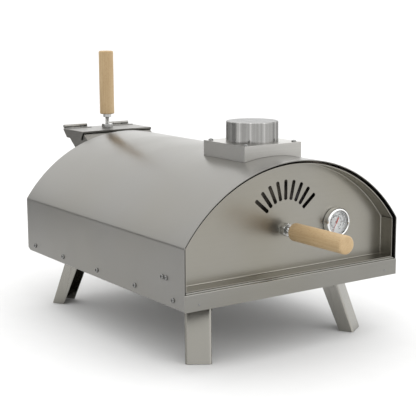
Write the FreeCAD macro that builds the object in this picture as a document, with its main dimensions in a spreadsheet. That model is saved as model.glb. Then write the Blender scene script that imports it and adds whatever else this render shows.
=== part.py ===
import FreeCAD, Part
import math
import os
import re
import Sketcher

# Wood fired pizza oven: an arched steel shell on four folding legs, with a lift-off plug
# door, a fuel hopper and a pull-out fire grate at the back, and a capped flue on top.
#
# Everything is drawn in the shell's frame, in millimetres: X across the oven, Y back from
# the shell's front edge, Z up from the shell's bottom edge. place() then moves each piece
# so that the origin is on the ground, under the middle of the whole object.

# ---------------------------------------------------------------- driving dimensions
SIZES = {
    # shell
    "body_width": 400,
    "body_depth": 500,
    "side_height": 91,
    "arch_rise": 106,
    "sheet_thick": 1.2,
    "lip_width": 12,
    "ground_clearance": 92.4,
    "sheet_gap": 0.2,
    "moving_gap": 0.3,
    "clip_depth": 9,
    "clip_height": 5,
    # floor
    "tray_height": 5,
    "deck_height": 25,
    "deck_front": 60,
    "sill_thick": 2,
    "floor_pad_gap": 0.5,
    # lining
    "liner_inset": 22,
    "liner_thick": 1,
    "liner_front": 62,
    "liner_end_gap": 20,
    "liner_step": 2,
    "blanket_gap": 0.5,
    # stone and baffle
    "stone_side_gap": 12,
    "stone_thick": 12,
    "stone_corner": 14,
    "stone_edge": 1.5,
    "baffle_gap": 4,
    "baffle_height": 46,
    "baffle_side_gap": 9,
    "baffle_foot": 9,
    "baffle_slot_drop": 8,
    "baffle_slot_pitch": 24,
    "baffle_slot_wide": 8,
    "baffle_slot_tall": 22,
    # front frame and door
    "door_recess": 4,
    "door_flange": 25,
    "door_margin": 5,
    "door_relief": 4,
    "relief_half": 0.6,
    "frame_setback": 2.8,
    "frame_face": 28,
    "frame_depth": 27,
    "plug_margin": 4,
    "plug_depth": 16,
    "vent_radius": 58,
    "vent_long": 26,
    "vent_wide": 6,
    "vent_end_round": 3.6,
    "vent_height": 92,
    "vent_angle": 100,
    "vent_count": 9,
    # handles
    "grip_radius": 13.5,
    "grip_long": 115,
    "grip_round": 3,
    "handle_standoff": 22,
    "lid_grip_long": 117,
    "lid_standoff": 26,
    "stud_radius": 4,
    "stud_in_grip": 32,
    "stud_show": 2,
    "nut_across": 13,
    "nut_thick": 6,
    "washer_radius": 9,
    "washer_thick": 1.6,
    "door_handle_z": 90,
    # thermometer
    "dial_from_side": 104,
    "dial_z": 91,
    "bezel_radius": 23,
    "bezel_deep": 12,
    "bezel_lip": 3.6,
    "bezel_start": 1,
    "bezel_round": 3,
    "bezel_chamfer": 1,
    "case_inset": 2,
    "case_wall": 0.8,
    "press_gap": 0.05,
    "glass_drop": 2,
    "dial_level": 4,
    "dial_hole_gap": 0.3,
    "dial_thick": 0.6,
    "glass_thick": 1,
    "needle_long": 15,
    "needle_tail": 8,
    "needle_wide": 1.8,
    "needle_thick": 0.5,
    "needle_level": 5.5,
    "needle_lean": 151,
    "hub_rise": 0.4,
    "arbor_radius": 0.7,
    "arbor_top": 7,
    "stem_radius": 3,
    "stem_top": 2,
    "stem_point": 1,
    "stem_long": 46,
    "stem_nut_across": 17,
    "stem_nut_thick": 4,
    # chimney
    "chimney_side": 106.8,
    "chimney_front": 59.4,
    "chimney_rise": 18,
    "chimney_screw_inset": 8,
    "flue_radius": 36,
    "flue_rise": 23,
    "flue_below": 6,
    "cap_gap": 3.05,
    "cap_height": 31,
    # hopper
    "hopper_width": 140.6,
    "hopper_stand": 31.4,
    "hopper_deep": 72.6,
    "hopper_drop": 2.2,
    "hopper_slope": 0.735,
    "hopper_flange": 14,
    "hopper_screw_inset": 8,
    "throat_lap": 2,
    "lid_side_gap": 0.8,
    "lid_front_gap": 2.8,
    "lid_back_gap": 1.4,
    "lid_lift": 1,
    "lid_lap": 16,
    "lid_front_lip": 3,
    "lid_nose_slant": 7.15,
    "lid_nose_radius": 15.6,
    "lid_tail_slant": 14.4,
    "hinge_radius": 3,
    "hinge_pin_radius": 1.5,
    "hinge_wide": 48,
    "hinge_middle": 18,
    "hinge_x": 45,
    "hinge_leaf": 20,
    "hinge_leaf_inset": 2,
    "hinge_tab": 14,
    "hinge_leaf_drop": 10,
    "hinge_overhang": 4.2,
    "pin_clearance": 0.08,
    # rear panel and fire grate
    "firebox_depth": 92,
    "panel_setback": 14,
    "panel_rim": 12,
    "grate_width": 100,
    "grate_clear": 1.5,
    "grate_lift": 1,
    "grate_play": 2,
    "grate_height": 52,
    "grate_ledge": 6,
    "grate_slot_wide": 5,
    "grate_slot_pitch": 12,
    "grate_slot_end": 10,
    "grate_plate_lap": 8,
    "rail_gap": 1,
    "rail_height": 18,
    "rail_foot": 12,
    "grate_handle_z": 60,
    # legs
    "leg_width": 39,
    "leg_thick": 1.8,
    "leg_splay": 20,
    "leg_turn": 32.8,
    "leg_web_offset": 13,
    "leg_flange_top": 26,
    "leg_flange_foot": 22,
    "leg_head": 17.2,
    "leg_notch": 3,
    "leg_front_side": 70,
    "leg_front_inset": 71.3,
    "leg_rear_side": 64,
    "leg_rear_inset": 61.6,
    "bracket_thick": 1.5,
    "bracket_drop": 17.5,
    "cheek_radius": 10,
    "bracket_heel": 5,
    "bracket_toe": 8,
    "leg_bolt_radius": 3,
    "bolt_across": 10,
    "bolt_head": 4,
    "bolt_show": 2,
    # small screws
    "screw_radius": 2,
    "screw_head_radius": 3.8,
    "screw_crown_radius": 2.28,
    "screw_head_tall": 2.6,
    "screw_long": 7,
    "screw_clearance": 0.1,
    "side_screw_rise": 7,
    "rivet_radius": 1.2,
    "rivet_head_radius": 1.9,
    "rivet_crown_radius": 1.2,
    "rivet_head_tall": 0.6,
    "rivet_long": 4,
    "rivet_rise": 3.6,
    "rivet_side": 24,
    "panel_screw_side": 80,
    "side_screw_end": 29,
    "side_screw_next": 134,
    "frame_screw_back": 13.8,
    "frame_screw_pitch": 10,
    "frame_screw_z": 41,
    # how far a cutting shape runs past what it cuts
    "overcut": 2,
}

# ---------------------------------------------------------------- sizes worked out from them
WORKED_OUT = {
    "half_width": "body_width / 2",
    "arch_radius": "(half_width ^ 2 + arch_rise ^ 2) / (2 * arch_rise)",
    "arch_top": "side_height + arch_rise",
    "arch_centre": "arch_top - arch_radius",
    "inner_half": "half_width - sheet_thick",
    "deck_under": "deck_height - sheet_thick",
    "tray_floor": "tray_height + sheet_thick",
    "sill_top": "deck_height + sill_thick",
    "door_bottom": "sill_top + moving_gap",
    "door_face": "door_recess + door_flange",
    "door_back": "door_face + sheet_thick",
    "frame_front": "door_back + frame_setback",
    "frame_inset": "sheet_thick + sheet_gap",
    "opening_inset": "frame_inset + frame_face",
    "plug_inset": "opening_inset + plug_margin",
    "panel_front": "body_depth - panel_setback",
    "panel_back": "panel_front + sheet_thick",
    "tray_back": "panel_front",
    "liner_inner": "liner_inset + liner_thick",
    "liner_back": "body_depth - liner_end_gap",
    "stone_half": "half_width - liner_inner - stone_side_gap",
    "stone_front": "liner_front + liner_step",
    "stone_back": "panel_front - firebox_depth",
    "stone_top": "deck_height + stone_thick",
    "baffle_width": "2 * (half_width - liner_inner - baffle_side_gap)",
    "baffle_front": "stone_back + baffle_gap",
    "dial_x": "half_width - dial_from_side",
    "case_radius": "bezel_radius - case_inset",
    "case_inside": "case_radius - case_wall",
    "glass_top": "bezel_deep - glass_drop",
    "glass_low": "glass_top - glass_thick",
    "bezel_opening": "bezel_radius - bezel_lip",
    "chimney_top": "arch_top + chimney_rise",
    "chimney_middle": "chimney_front + chimney_side / 2",
    "chimney_half": "chimney_side / 2",
    "chimney_screw": "chimney_half - chimney_screw_inset",
    "flue_top": "chimney_top + flue_rise",
    "flue_bottom": "arch_top - liner_inner - flue_below",
    "cap_radius": "flue_radius + cap_gap + sheet_thick",
    "hopper_half": "hopper_width / 2",
    "hopper_front": "body_depth + hopper_stand",
    "hopper_back": "hopper_front + hopper_deep",
    "hopper_top": "arch_top - hopper_drop",
    "lid_half": "hopper_half + lid_side_gap + sheet_thick",
    "lid_front": "hopper_front - lid_front_gap - sheet_thick",
    "lid_back": "hopper_back + lid_back_gap",
    "lid_top": "hopper_top + lid_lift + sheet_thick",
    "lid_low": "lid_top - lid_lap",
    "wall_step": "sheet_thick * sqrt(1 + hopper_slope ^ 2)",
    "throat_low": "hopper_top - (hopper_back - panel_back) * hopper_slope",
    "throat_high": "hopper_top - (hopper_front - panel_back) * hopper_slope",
    "hinge_y": "lid_back + hinge_overhang",
    "hinge_z": "lid_top + hinge_radius",
    "hinge_reach": "1.1 * (hinge_y - hopper_back)",
    "lid_middle": "(lid_front + lid_back) / 2",
    "grate_front": "baffle_front + baffle_foot + grate_clear",
    "grate_half": "grate_width / 2",
    "grate_low": "deck_height + grate_lift",
    "grate_high": "grate_low + grate_height",
    "grate_plate": "panel_back + moving_gap",
    "grate_end": "grate_plate + sheet_thick",
    "leg_front_x": "half_width - leg_front_side",
    "leg_rear_x": "half_width - leg_rear_side",
    "leg_pivot_z": "tray_height - bracket_thick - bracket_drop",
    "leg_drop": "ground_clearance + leg_pivot_z",
    "leg_half": "leg_width / 2",
    "cheek_inner": "leg_half + moving_gap",
    "cheek_outer": "cheek_inner + bracket_thick",
    "side_screw_z": "tray_height + side_screw_rise",
    "rivet_z": "tray_height + rivet_rise",
    "rivet_x": "half_width - rivet_side",
    "panel_screw_x": "half_width - panel_screw_side",
    "frame_screw_y": "frame_front + frame_screw_back",
    "front_end": "door_face - handle_standoff - grip_long",
    "rear_end": "grate_end + handle_standoff + grip_long",
    "frame_y": "(front_end + rear_end) / 2",
}

doc = FreeCAD.newDocument("pizza_oven")
sizes = doc.addObject("Spreadsheet::Sheet", "sizes")


def fill_sheet():
    """Put every size in the sheet, each in a row of its own with its name as the alias."""
    row = 1
    for name, value in SIZES.items():
        sizes.set("A%d" % row, str(value))
        sizes.setAlias("A%d" % row, name)
        row += 1
    for name, formula in WORKED_OUT.items():
        sizes.set("A%d" % row, "=" + formula)
        sizes.setAlias("A%d" % row, name)
        row += 1
    doc.recompute()


fill_sheet()
ALIASES = set(SIZES) | set(WORKED_OUT)
PIECES = []


# ---------------------------------------------------------------- small tools
def linked(formula):
    """The formula as another object writes it, with each size read from the sheet."""
    return re.sub(r"[a-z]\w*", lambda m: "sizes." + m[0] if m[0] in ALIASES else m[0], str(formula))


def value(formula):
    """The number that a formula of sheet sizes gives now."""
    return float(sizes.evalExpression(str(formula)))


def bind(item, where, formula):
    """Tie one property of an object to the sheet."""
    item.setExpression(where, linked(formula))


def place(item, x="0", y="0", z="0", axis=(0, 0, 1), angle="0"):
    """Put a finished piece in the object's frame: turned about an axis, then moved."""
    item.Placement = FreeCAD.Placement(
        FreeCAD.Vector(0, 0, 0), FreeCAD.Rotation(FreeCAD.Vector(*axis), value(angle)))
    bind(item, "Placement.Base.x", x)
    bind(item, "Placement.Base.y", "(%s) - frame_y" % y)
    bind(item, "Placement.Base.z", "(%s) + ground_clearance" % z)


def finish(item, label):
    """Name a piece and keep it for the export."""
    item.Label = label
    PIECES.append(item)
    return item


# ---------------------------------------------------------------- sketches and features
def new_body(label):
    return doc.addObject("PartDesign::Body", label)


def new_sketch(body, role, offset="0"):
    """A sketch on one of the body's own origin planes, moved along the plane's normal."""
    sketch = body.newObject("Sketcher::SketchObject", body.Name + "_sketch")
    plane = next(item for item in body.Origin.OriginFeatures if item.Role == role)
    sketch.AttachmentSupport = [(plane, "")]
    sketch.MapMode = "FlatFace"
    bind(sketch, "AttachmentOffset.Base.z", offset)
    return sketch


def arc_between(start, end, radius, side):
    """An arc from start to end, its centre to the left (side 1) or right (side -1)."""
    chord = end - start
    reach = math.sqrt(max(radius ** 2 - (chord.Length / 2) ** 2, 0))
    across = FreeCAD.Vector(-chord.y, chord.x, 0).normalize() * side
    centre = (start + end) / 2 + across * reach
    return Part.Arc(start, centre - across * radius, end)


def outline(sketch, corners):
    """A closed outline. A corner is (x, y), or (x, y, radius, side) when an arc follows it."""
    first = sketch.GeometryCount
    total = len(corners)
    points = [FreeCAD.Vector(value(c[0]), value(c[1]), 0) for c in corners]
    heads = []
    for i, corner in enumerate(corners):
        start = points[i]
        end = points[(i + 1) % total]
        if len(corner) == 4:
            sketch.addGeometry(arc_between(start, end, value(corner[2]), corner[3]))
            heads.append(1 if corner[3] > 0 else 2)
        else:
            sketch.addGeometry(Part.LineSegment(start, end))
            heads.append(1)
    for i, corner in enumerate(corners):
        following = (i + 1) % total
        sketch.addConstraint(Sketcher.Constraint(
            "Coincident", first + i, 3 - heads[i], first + following, heads[following]))
        for kind, formula, number in (("DistanceX", corner[0], points[i].x),
                                      ("DistanceY", corner[1], points[i].y)):
            index = sketch.addConstraint(Sketcher.Constraint(kind, first + i, heads[i], number))
            bind(sketch, "Constraints[%d]" % index, formula)
        if len(corner) == 4:
            index = sketch.addConstraint(
                Sketcher.Constraint("Radius", first + i, value(corner[2])))
            bind(sketch, "Constraints[%d]" % index, corner[2])


def circle(sketch, x, y, radius):
    """A full circle in a sketch."""
    centre = FreeCAD.Vector(value(x), value(y), 0)
    geometry = sketch.addGeometry(
        Part.Circle(centre, FreeCAD.Vector(0, 0, 1), value(radius)))
    for kind, formula, number in (("DistanceX", x, centre.x), ("DistanceY", y, centre.y)):
        index = sketch.addConstraint(Sketcher.Constraint(kind, geometry, 3, number))
        bind(sketch, "Constraints[%d]" % index, formula)
    index = sketch.addConstraint(Sketcher.Constraint("Radius", geometry, value(radius)))
    bind(sketch, "Constraints[%d]" % index, radius)


def rectangle(sketch, x0, x1, y0, y1):
    outline(sketch, [(x0, y0), (x1, y0), (x1, y1), (x0, y1)])


def pad(body, sketch, length, both_ways=False, backwards=False):
    feature = body.newObject("PartDesign::Pad", body.Name + "_pad")
    feature.Profile = sketch
    bind(feature, "Length", length)
    feature.Midplane = both_ways
    feature.Reversed = backwards
    return feature


def pocket(body, sketch, length, both_ways=False):
    feature = body.newObject("PartDesign::Pocket", body.Name + "_pocket")
    feature.Profile = sketch
    bind(feature, "Length", length)
    feature.Midplane = both_ways
    return feature


def pocket_through(body, sketch):
    """Cut the sketch through the whole body, both ways."""
    feature = body.newObject("PartDesign::Pocket", body.Name + "_cut")
    feature.Profile = sketch
    feature.Type = "ThroughAll"
    feature.Midplane = True
    return feature


def turned(label, corners):
    """A body turned about its own Z axis from an outline of (radius, height) corners."""
    body = new_body(label)
    sketch = new_sketch(body, "XZ_Plane")
    outline(sketch, corners)
    feature = body.newObject("PartDesign::Revolution", label + "_turned")
    feature.Profile = sketch
    feature.ReferenceAxis = (sketch, ["V_Axis"])
    feature.Angle = 360
    return finish(body, label)


# ---------------------------------------------------------------- primitives and booleans
def box(name, x0, x1, y0, y1, z0, z1):
    """A block between six faces."""
    item = doc.addObject("Part::Box", name)
    bind(item, "Placement.Base.x", x0)
    bind(item, "Placement.Base.y", y0)
    bind(item, "Placement.Base.z", z0)
    bind(item, "Length", "(%s) - (%s)" % (x1, x0))
    bind(item, "Width", "(%s) - (%s)" % (y1, y0))
    bind(item, "Height", "(%s) - (%s)" % (z1, z0))
    return item


def rod(name, radius, length, x, y, z, axis="Z"):
    """A round bar that starts at a point and runs along +X, +Y or +Z."""
    turn = {"X": ((0, 1, 0), 90), "Y": ((1, 0, 0), -90), "Z": ((0, 0, 1), 0)}[axis]
    item = doc.addObject("Part::Cylinder", name)
    item.Placement = FreeCAD.Placement(
        FreeCAD.Vector(0, 0, 0), FreeCAD.Rotation(FreeCAD.Vector(*turn[0]), turn[1]))
    bind(item, "Radius", radius)
    bind(item, "Height", length)
    bind(item, "Placement.Base.x", x)
    bind(item, "Placement.Base.y", y)
    bind(item, "Placement.Base.z", z)
    return item


def joined(name, items):
    item = doc.addObject("Part::MultiFuse", name)
    item.Shapes = items
    return item


def cut(name, base, tools):
    """One piece less one or more others."""
    tool = tools[0] if len(tools) == 1 else joined(name + "_tools", tools)
    item = doc.addObject("Part::Cut", name)
    item.Base = base
    item.Tool = tool
    return item


def group(name, items):
    """Separate solids that share one name."""
    item = doc.addObject("Part::Compound", name)
    item.Links = items
    return item


def screw_hole(name, x, y, z, axis, radius="screw_radius + screw_clearance"):
    """A bar that drills a screw's hole through one or two sheets, centred on a point."""
    start = [x, y, z]
    index = "XYZ".index(axis)
    start[index] = "(%s) - 2 * overcut" % start[index]
    return rod(name, radius, "4 * overcut", *start, axis=axis)


def screw(name, x, y, z, out, kind="screw"):
    """A pan head screw or rivet. Its head's underside is at the point and faces out."""
    sign = "-" if out[0] == "-" else ""
    axis = out[-1]
    head_turns = {"X": ((0, 1, 0), 90), "-X": ((0, 1, 0), -90), "Y": ((1, 0, 0), -90),
                  "-Y": ((1, 0, 0), 90), "Z": ((0, 0, 1), 0)}
    turn = head_turns[sign + axis]
    rotation = FreeCAD.Rotation(FreeCAD.Vector(*turn[0]), turn[1])
    head = doc.addObject("Part::Cone", name + "_head")
    bind(head, "Radius1", kind + "_head_radius")
    bind(head, "Radius2", kind + "_crown_radius")
    bind(head, "Height", kind + "_head_tall")
    shank = doc.addObject("Part::Cylinder", name + "_shank")
    bind(shank, "Radius", kind + "_radius")
    bind(shank, "Height", kind + "_long")
    inward = rotation.multVec(FreeCAD.Vector(0, 0, -1))
    for item, shift in ((head, 0), (shank, 1)):
        item.Placement = FreeCAD.Placement(FreeCAD.Vector(0, 0, 0), rotation)
        for way, place_now, step in (("x", x, inward.x), ("y", y, inward.y), ("z", z, inward.z)):
            bind(item, "Placement.Base." + way,
                 "(%s) + %g * %s_long" % (place_now, shift * round(step), kind))
    return joined(name, [head, shank])


# ---------------------------------------------------------------- the arch that recurs
def shoulder(inset):
    """Height at which an arch drawn in by inset meets its side walls."""
    return ("(arch_centre + sqrt((arch_radius - (%s)) ^ 2 - (half_width - (%s)) ^ 2))"
            % (inset, inset))


def arch(sketch, inset, floor):
    """The closed outline of the shell's arch, drawn in by inset and cut off at a floor."""
    side = "half_width - (%s)" % inset
    top = shoulder(inset)
    outline(sketch, [
        ("-(%s)" % side, floor),
        ("-(%s)" % side, top, "arch_radius - (%s)" % inset, -1),
        (side, top),
        (side, floor),
    ])


def arch_band(sketch, inset, thick, floor):
    """The outline of a bent sheet that follows the arch, open at the bottom."""
    inner = "(%s) + (%s)" % (inset, thick)
    outer_side = "half_width - (%s)" % inset
    inner_side = "half_width - (%s)" % inner
    outline(sketch, [
        ("-(%s)" % outer_side, floor),
        ("-(%s)" % outer_side, shoulder(inset), "arch_radius - (%s)" % inset, -1),
        (outer_side, shoulder(inset)),
        (outer_side, floor),
        (inner_side, floor),
        (inner_side, shoulder(inner), "arch_radius - (%s)" % inner, 1),
        ("-(%s)" % inner_side, shoulder(inner)),
        ("-(%s)" % inner_side, floor),
    ])


def side_screw_places():
    """Distances back from the front edge of the five screws along each side."""
    return ["side_screw_end", "side_screw_next", "body_depth / 2",
            "body_depth - side_screw_next", "body_depth - side_screw_end"]


def frame_screw_places():
    return ["frame_screw_y", "frame_screw_y + frame_screw_pitch"]


# ---------------------------------------------------------------- shell and lining
def make_outer_shell():
    """Folded skin: two side walls, the arch and a narrow lip turned in along each side."""
    body = new_body("outer_shell")
    sketch = new_sketch(body, "XZ_Plane")
    inner = "sheet_thick"
    outline(sketch, [
        ("-half_width", "0"),
        ("-half_width", shoulder("0"), "arch_radius", -1),
        ("half_width", shoulder("0")),
        ("half_width", "0"),
        ("half_width - lip_width", "0"),
        ("half_width - lip_width", "sheet_thick"),
        ("inner_half", "sheet_thick"),
        ("inner_half", shoulder(inner), "arch_radius - sheet_thick", 1),
        ("-inner_half", shoulder(inner)),
        ("-inner_half", "sheet_thick"),
        ("lip_width - half_width", "sheet_thick"),
        ("lip_width - half_width", "0"),
    ])
    pad(body, sketch, "body_depth", backwards=True)
    holes = new_sketch(body, "YZ_Plane")
    for y in side_screw_places():
        circle(holes, y, "side_screw_z", "screw_radius + screw_clearance")
    for y in frame_screw_places():
        circle(holes, y, "frame_screw_z", "screw_radius + screw_clearance")
    outline(holes, [("body_depth + overcut", "-overcut"), ("body_depth + overcut", "clip_height"),
                    ("body_depth", "clip_height"), ("body_depth - clip_depth", "-overcut")])
    pocket_through(body, holes)
    flue = new_sketch(body, "XY_Plane")
    circle(flue, "0", "chimney_middle", "flue_radius + 2 * sheet_gap")
    pocket_through(body, flue)
    place(body)
    finish(body, "outer_shell")


def make_arch_lining(label, inset, thick, front, back, floor, hole):
    """A bent lining that follows the shell, with a round hole for the flue."""
    body = new_body(label)
    sketch = new_sketch(body, "XZ_Plane", "-(%s)" % front)
    arch_band(sketch, inset, thick, floor)
    pad(body, sketch, "(%s) - (%s)" % (back, front), backwards=True)
    flue = new_sketch(body, "XY_Plane")
    circle(flue, "0", "chimney_middle", hole)
    pocket_through(body, flue)
    place(body)
    finish(body, label)


def make_base_tray():
    """Shallow pan inside the bottom of the shell. The side screws hold its turned-up edges."""
    outer = box("tray_outer", "-inner_half", "inner_half", "sheet_thick", "tray_back",
                "tray_height", "deck_under")
    inner = box("tray_inner", "sheet_thick - inner_half", "inner_half - sheet_thick",
                "2 * sheet_thick", "tray_back - sheet_thick", "tray_floor", "deck_height")
    drills = [inner]
    for i, y in enumerate(side_screw_places()):
        for side in (-1, 1):
            drills.append(screw_hole("tray_hole_%d_%d" % (i, side + 1), "%d * inner_half" % side,
                                     y, "side_screw_z", "X"))
    for i, x in enumerate(panel_screw_places()):
        drills.append(screw_hole("tray_back_hole_%d" % i, x, "tray_back", "side_screw_z", "Y"))
    for i, x in enumerate(rivet_places()):
        drills.append(screw_hole("tray_front_hole_%d" % i, x, "sheet_thick", "rivet_z", "Y",
                                 "rivet_radius"))
    tray = cut("base_tray", outer, drills)
    place(tray)
    finish(tray, "base_tray")


def rivet_places():
    return ["-rivet_x", "rivet_x"]


def panel_screw_places():
    return ["-panel_screw_x", "panel_screw_x"]


def make_front_fascia():
    """Strip across the bottom of the front, folded back along its top to carry the sill."""
    body = new_body("front_fascia")
    face = new_sketch(body, "YZ_Plane")
    rectangle(face, "-sheet_thick", "0", "0", "deck_height")
    pad(body, face, "body_width", both_ways=True)
    flange = new_sketch(body, "YZ_Plane")
    rectangle(flange, "-sheet_thick", "deck_front", "deck_under", "deck_height")
    pad(body, flange, "2 * (inner_half - sheet_gap)", both_ways=True)
    holes = new_sketch(body, "XZ_Plane")
    for x in rivet_places():
        circle(holes, x, "rivet_z", "rivet_radius")
    pocket_through(body, holes)
    place(body)
    finish(body, "front_fascia")


def make_door_sill():
    """Flat strip that the door stands on."""
    sill = box("sill_blank", "3 * sheet_thick - half_width", "half_width - 3 * sheet_thick",
               "sheet_thick", "deck_front", "deck_height", "sill_top")
    shape = doc.addObject("Part::Chamfer", "door_sill")
    shape.Base = sill
    doc.recompute()
    edges = []
    for number, edge in enumerate(sill.Shape.Edges, 1):
        middle = edge.CenterOfMass
        if abs(middle.z - value("sill_top")) < 1e-6 and abs(middle.x) < 1e-6:
            edges.append((number, value("sill_thick / 3"), value("sill_thick / 3")))
    shape.Edges = edges
    place(shape)
    finish(shape, "door_sill")


def make_hearth_pan():
    """Floor of the oven behind the sill, resting on the tray's turned-up edges."""
    pan = box("hearth_pan", "sheet_gap - inner_half", "inner_half - sheet_gap",
              "deck_front + sheet_gap", "tray_back", "deck_under", "deck_height")
    place(pan, "sheet_gap - inner_half", "deck_front + sheet_gap", "deck_under")
    finish(pan, "hearth_pan")


def make_floor_insulation():
    """Slab of insulation between the tray and the hearth."""
    low = "tray_floor"
    side = "inner_half - sheet_thick - floor_pad_gap"
    front = "deck_front + floor_pad_gap"
    slab = box("floor_slab_blank", "-(%s)" % side, side, front,
               "tray_back - sheet_thick - screw_long", low, "deck_under - floor_pad_gap")
    holes = []
    for i, y in enumerate(side_screw_places()[1:]):
        for sign in (-1, 1):
            holes.append(rod("slab_hole_%d_%d" % (i, sign + 1), "screw_radius + floor_pad_gap",
                             "4 * screw_long", "%d * inner_half - 2 * screw_long" % sign, y,
                             "side_screw_z", "X"))
    slab_cut = cut("floor_slab", slab, holes)
    place(slab_cut)
    finish(slab_cut, "floor_insulation")


def make_front_frame():
    """Arched rim behind the door, with a flange along the shell that two screws a side hold."""
    body = new_body("front_frame")
    blank = new_sketch(body, "XZ_Plane", "-frame_front")
    arch(blank, "frame_inset", "sill_top")
    pad(body, blank, "frame_depth", backwards=True)
    hollow = new_sketch(body, "XZ_Plane", "-(frame_front + sheet_thick)")
    arch(hollow, "frame_inset + sheet_thick", "sill_top - overcut")
    pocket(body, hollow, "frame_depth")
    mouth = new_sketch(body, "XZ_Plane")
    arch(mouth, "opening_inset", "sill_top - overcut")
    pocket_through(body, mouth)
    holes = new_sketch(body, "YZ_Plane")
    for y in frame_screw_places():
        circle(holes, y, "frame_screw_z", "screw_radius + screw_clearance")
    pocket_through(body, holes)
    place(body)
    finish(body, "front_frame")


# ---------------------------------------------------------------- inside the oven
def make_pizza_stone():
    body = new_body("pizza_stone")
    sketch = new_sketch(body, "XY_Plane", "deck_height")
    inner = "stone_half - stone_corner"
    outline(sketch, [
        ("-(%s)" % inner, "stone_front"),
        (inner, "stone_front", "stone_corner", 1),
        ("stone_half", "stone_front + stone_corner"),
        ("stone_half", "stone_back - stone_corner", "stone_corner", 1),
        (inner, "stone_back"),
        ("-(%s)" % inner, "stone_back", "stone_corner", 1),
        ("-stone_half", "stone_back - stone_corner"),
        ("-stone_half", "stone_front + stone_corner", "stone_corner", 1),
    ])
    pad(body, sketch, "stone_thick")
    doc.recompute()
    base = body.Tip
    edge = body.newObject("PartDesign::Chamfer", "stone_chamfer")
    top = [
        "Face%d" % (number + 1) for number, face in enumerate(base.Shape.Faces)
        if abs(face.CenterOfMass.z - value("stone_top")) < 1e-6
    ]
    edge.Base = (base, top)
    bind(edge, "Size", "stone_edge")
    place(body)
    finish(body, "pizza_stone")


def make_flame_baffle():
    """Upright plate between the fire and the stone, with a row of draught slots."""
    body = new_body("flame_baffle")
    sketch = new_sketch(body, "YZ_Plane")
    outline(sketch, [
        ("baffle_front", "deck_height"),
        ("baffle_front + baffle_foot", "deck_height"),
        ("baffle_front + baffle_foot", "deck_height + sheet_thick"),
        ("baffle_front + sheet_thick", "deck_height + sheet_thick"),
        ("baffle_front + sheet_thick", "deck_height + baffle_height"),
        ("baffle_front", "deck_height + baffle_height"),
    ])
    pad(body, sketch, "baffle_width", both_ways=True)
    slots = new_sketch(body, "XZ_Plane")
    count = int(value("(baffle_width - 2 * baffle_slot_pitch) / baffle_slot_pitch"))
    for i in range(count + 1):
        x = "(%g) * baffle_slot_pitch" % (i - count / 2)
        low = "deck_height + baffle_height - baffle_slot_drop - baffle_slot_tall"
        rectangle(slots, "%s - baffle_slot_wide / 2" % x, "%s + baffle_slot_wide / 2" % x,
                  low, "%s + baffle_slot_tall" % low)
    pocket_through(body, slots)
    place(body)
    finish(body, "flame_baffle")


def make_grate_rails():
    """Two angle strips on the hearth that guide the fire grate as it slides."""
    rails = []
    side = "grate_half + moving_gap + rail_gap"
    for sign in (-1, 1):
        name = "left" if sign < 0 else "right"
        near = "%d * (%s)" % (sign, side)
        far = "%d * (%s + sheet_thick)" % (sign, side)
        toe = "%d * (%s + rail_foot)" % (sign, side)
        if sign < 0:
            near, far = far, near
            foot_ends = (toe, far)
        else:
            foot_ends = (near, toe)
        wall = box("rail_wall_" + name, near, far, "grate_front", "panel_front - sheet_thick",
                   "deck_height", "deck_height + rail_height")
        foot = box("rail_foot_" + name, foot_ends[0], foot_ends[1], "grate_front",
                   "panel_front - sheet_thick", "deck_height", "deck_height + sheet_thick")
        rails.append(joined("rail_" + name, [wall, foot]))
    pair = group("grate_rails", rails)
    place(pair)
    finish(pair, "grate_rails")


def make_fire_basket():
    """Three folded walls around the fire, with a ledge turned in along their bottom edges."""
    outer = box("basket_outer", "-grate_half", "grate_half", "grate_front", "grate_plate",
                "grate_low", "grate_high")
    inner = box("basket_inner", "sheet_thick - grate_half", "grate_half - sheet_thick",
                "grate_front + sheet_thick", "grate_plate + overcut", "grate_low + sheet_thick",
                "grate_high + overcut")
    floor = box("basket_floor", "grate_ledge - grate_half", "grate_half - grate_ledge",
                "grate_front + grate_ledge", "grate_plate + overcut", "grate_low - overcut",
                "grate_high")
    basket = cut("fire_basket", outer, [inner, floor])
    place(basket)
    finish(basket, "fire_basket")


def make_ash_grid():
    """Slotted floor plate that lies on the basket's ledge and lets the ash fall through."""
    side = "grate_half - sheet_thick - sheet_gap"
    low = "grate_low + sheet_thick"
    plate = box("grid_blank", "-(%s)" % side, side, "grate_front + sheet_thick + sheet_gap",
                "grate_plate - sheet_gap", low, "grate_low + 2 * sheet_thick")
    count = int(value("(grate_width - 3 * grate_slot_pitch) / grate_slot_pitch"))
    slots = []
    for i in range(count + 1):
        x = "(%g) * grate_slot_pitch" % (i - count / 2)
        slots.append(box("grid_slot_%d" % i, "%s - grate_slot_wide / 2" % x,
                         "%s + grate_slot_wide / 2" % x, "grate_front + grate_slot_end",
                         "grate_plate - grate_slot_end", "grate_low",
                         "grate_low + 3 * sheet_thick"))
    grid = cut("ash_grid", plate, slots)
    place(grid)
    finish(grid, "ash_grid")


def make_grate_plate():
    """Plate welded across the basket's back end. It closes the rear panel's lower opening."""
    blank = box("grate_plate_blank", "-(grate_half + grate_plate_lap)",
                "grate_half + grate_plate_lap", "grate_plate", "grate_end", "grate_low",
                "grate_high + grate_plate_lap")
    hole = rod("grate_stud_hole", "stud_radius", "sheet_thick + 2 * overcut", "0",
               "grate_plate - overcut", "grate_handle_z", "Y")
    plate = cut("grate_plate", blank, [hole])
    place(plate)
    finish(plate, "grate_plate")


# ---------------------------------------------------------------- back of the oven
def hopper_screw_places():
    """Four corners of the hopper's flange, as (x, z)."""
    side = "hopper_half + hopper_flange / 2"
    heights = ("throat_low + hopper_screw_inset", "throat_high - hopper_screw_inset")
    return [("%d * (%s)" % (sign, side), height) for sign in (-1, 1) for height in heights]


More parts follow.
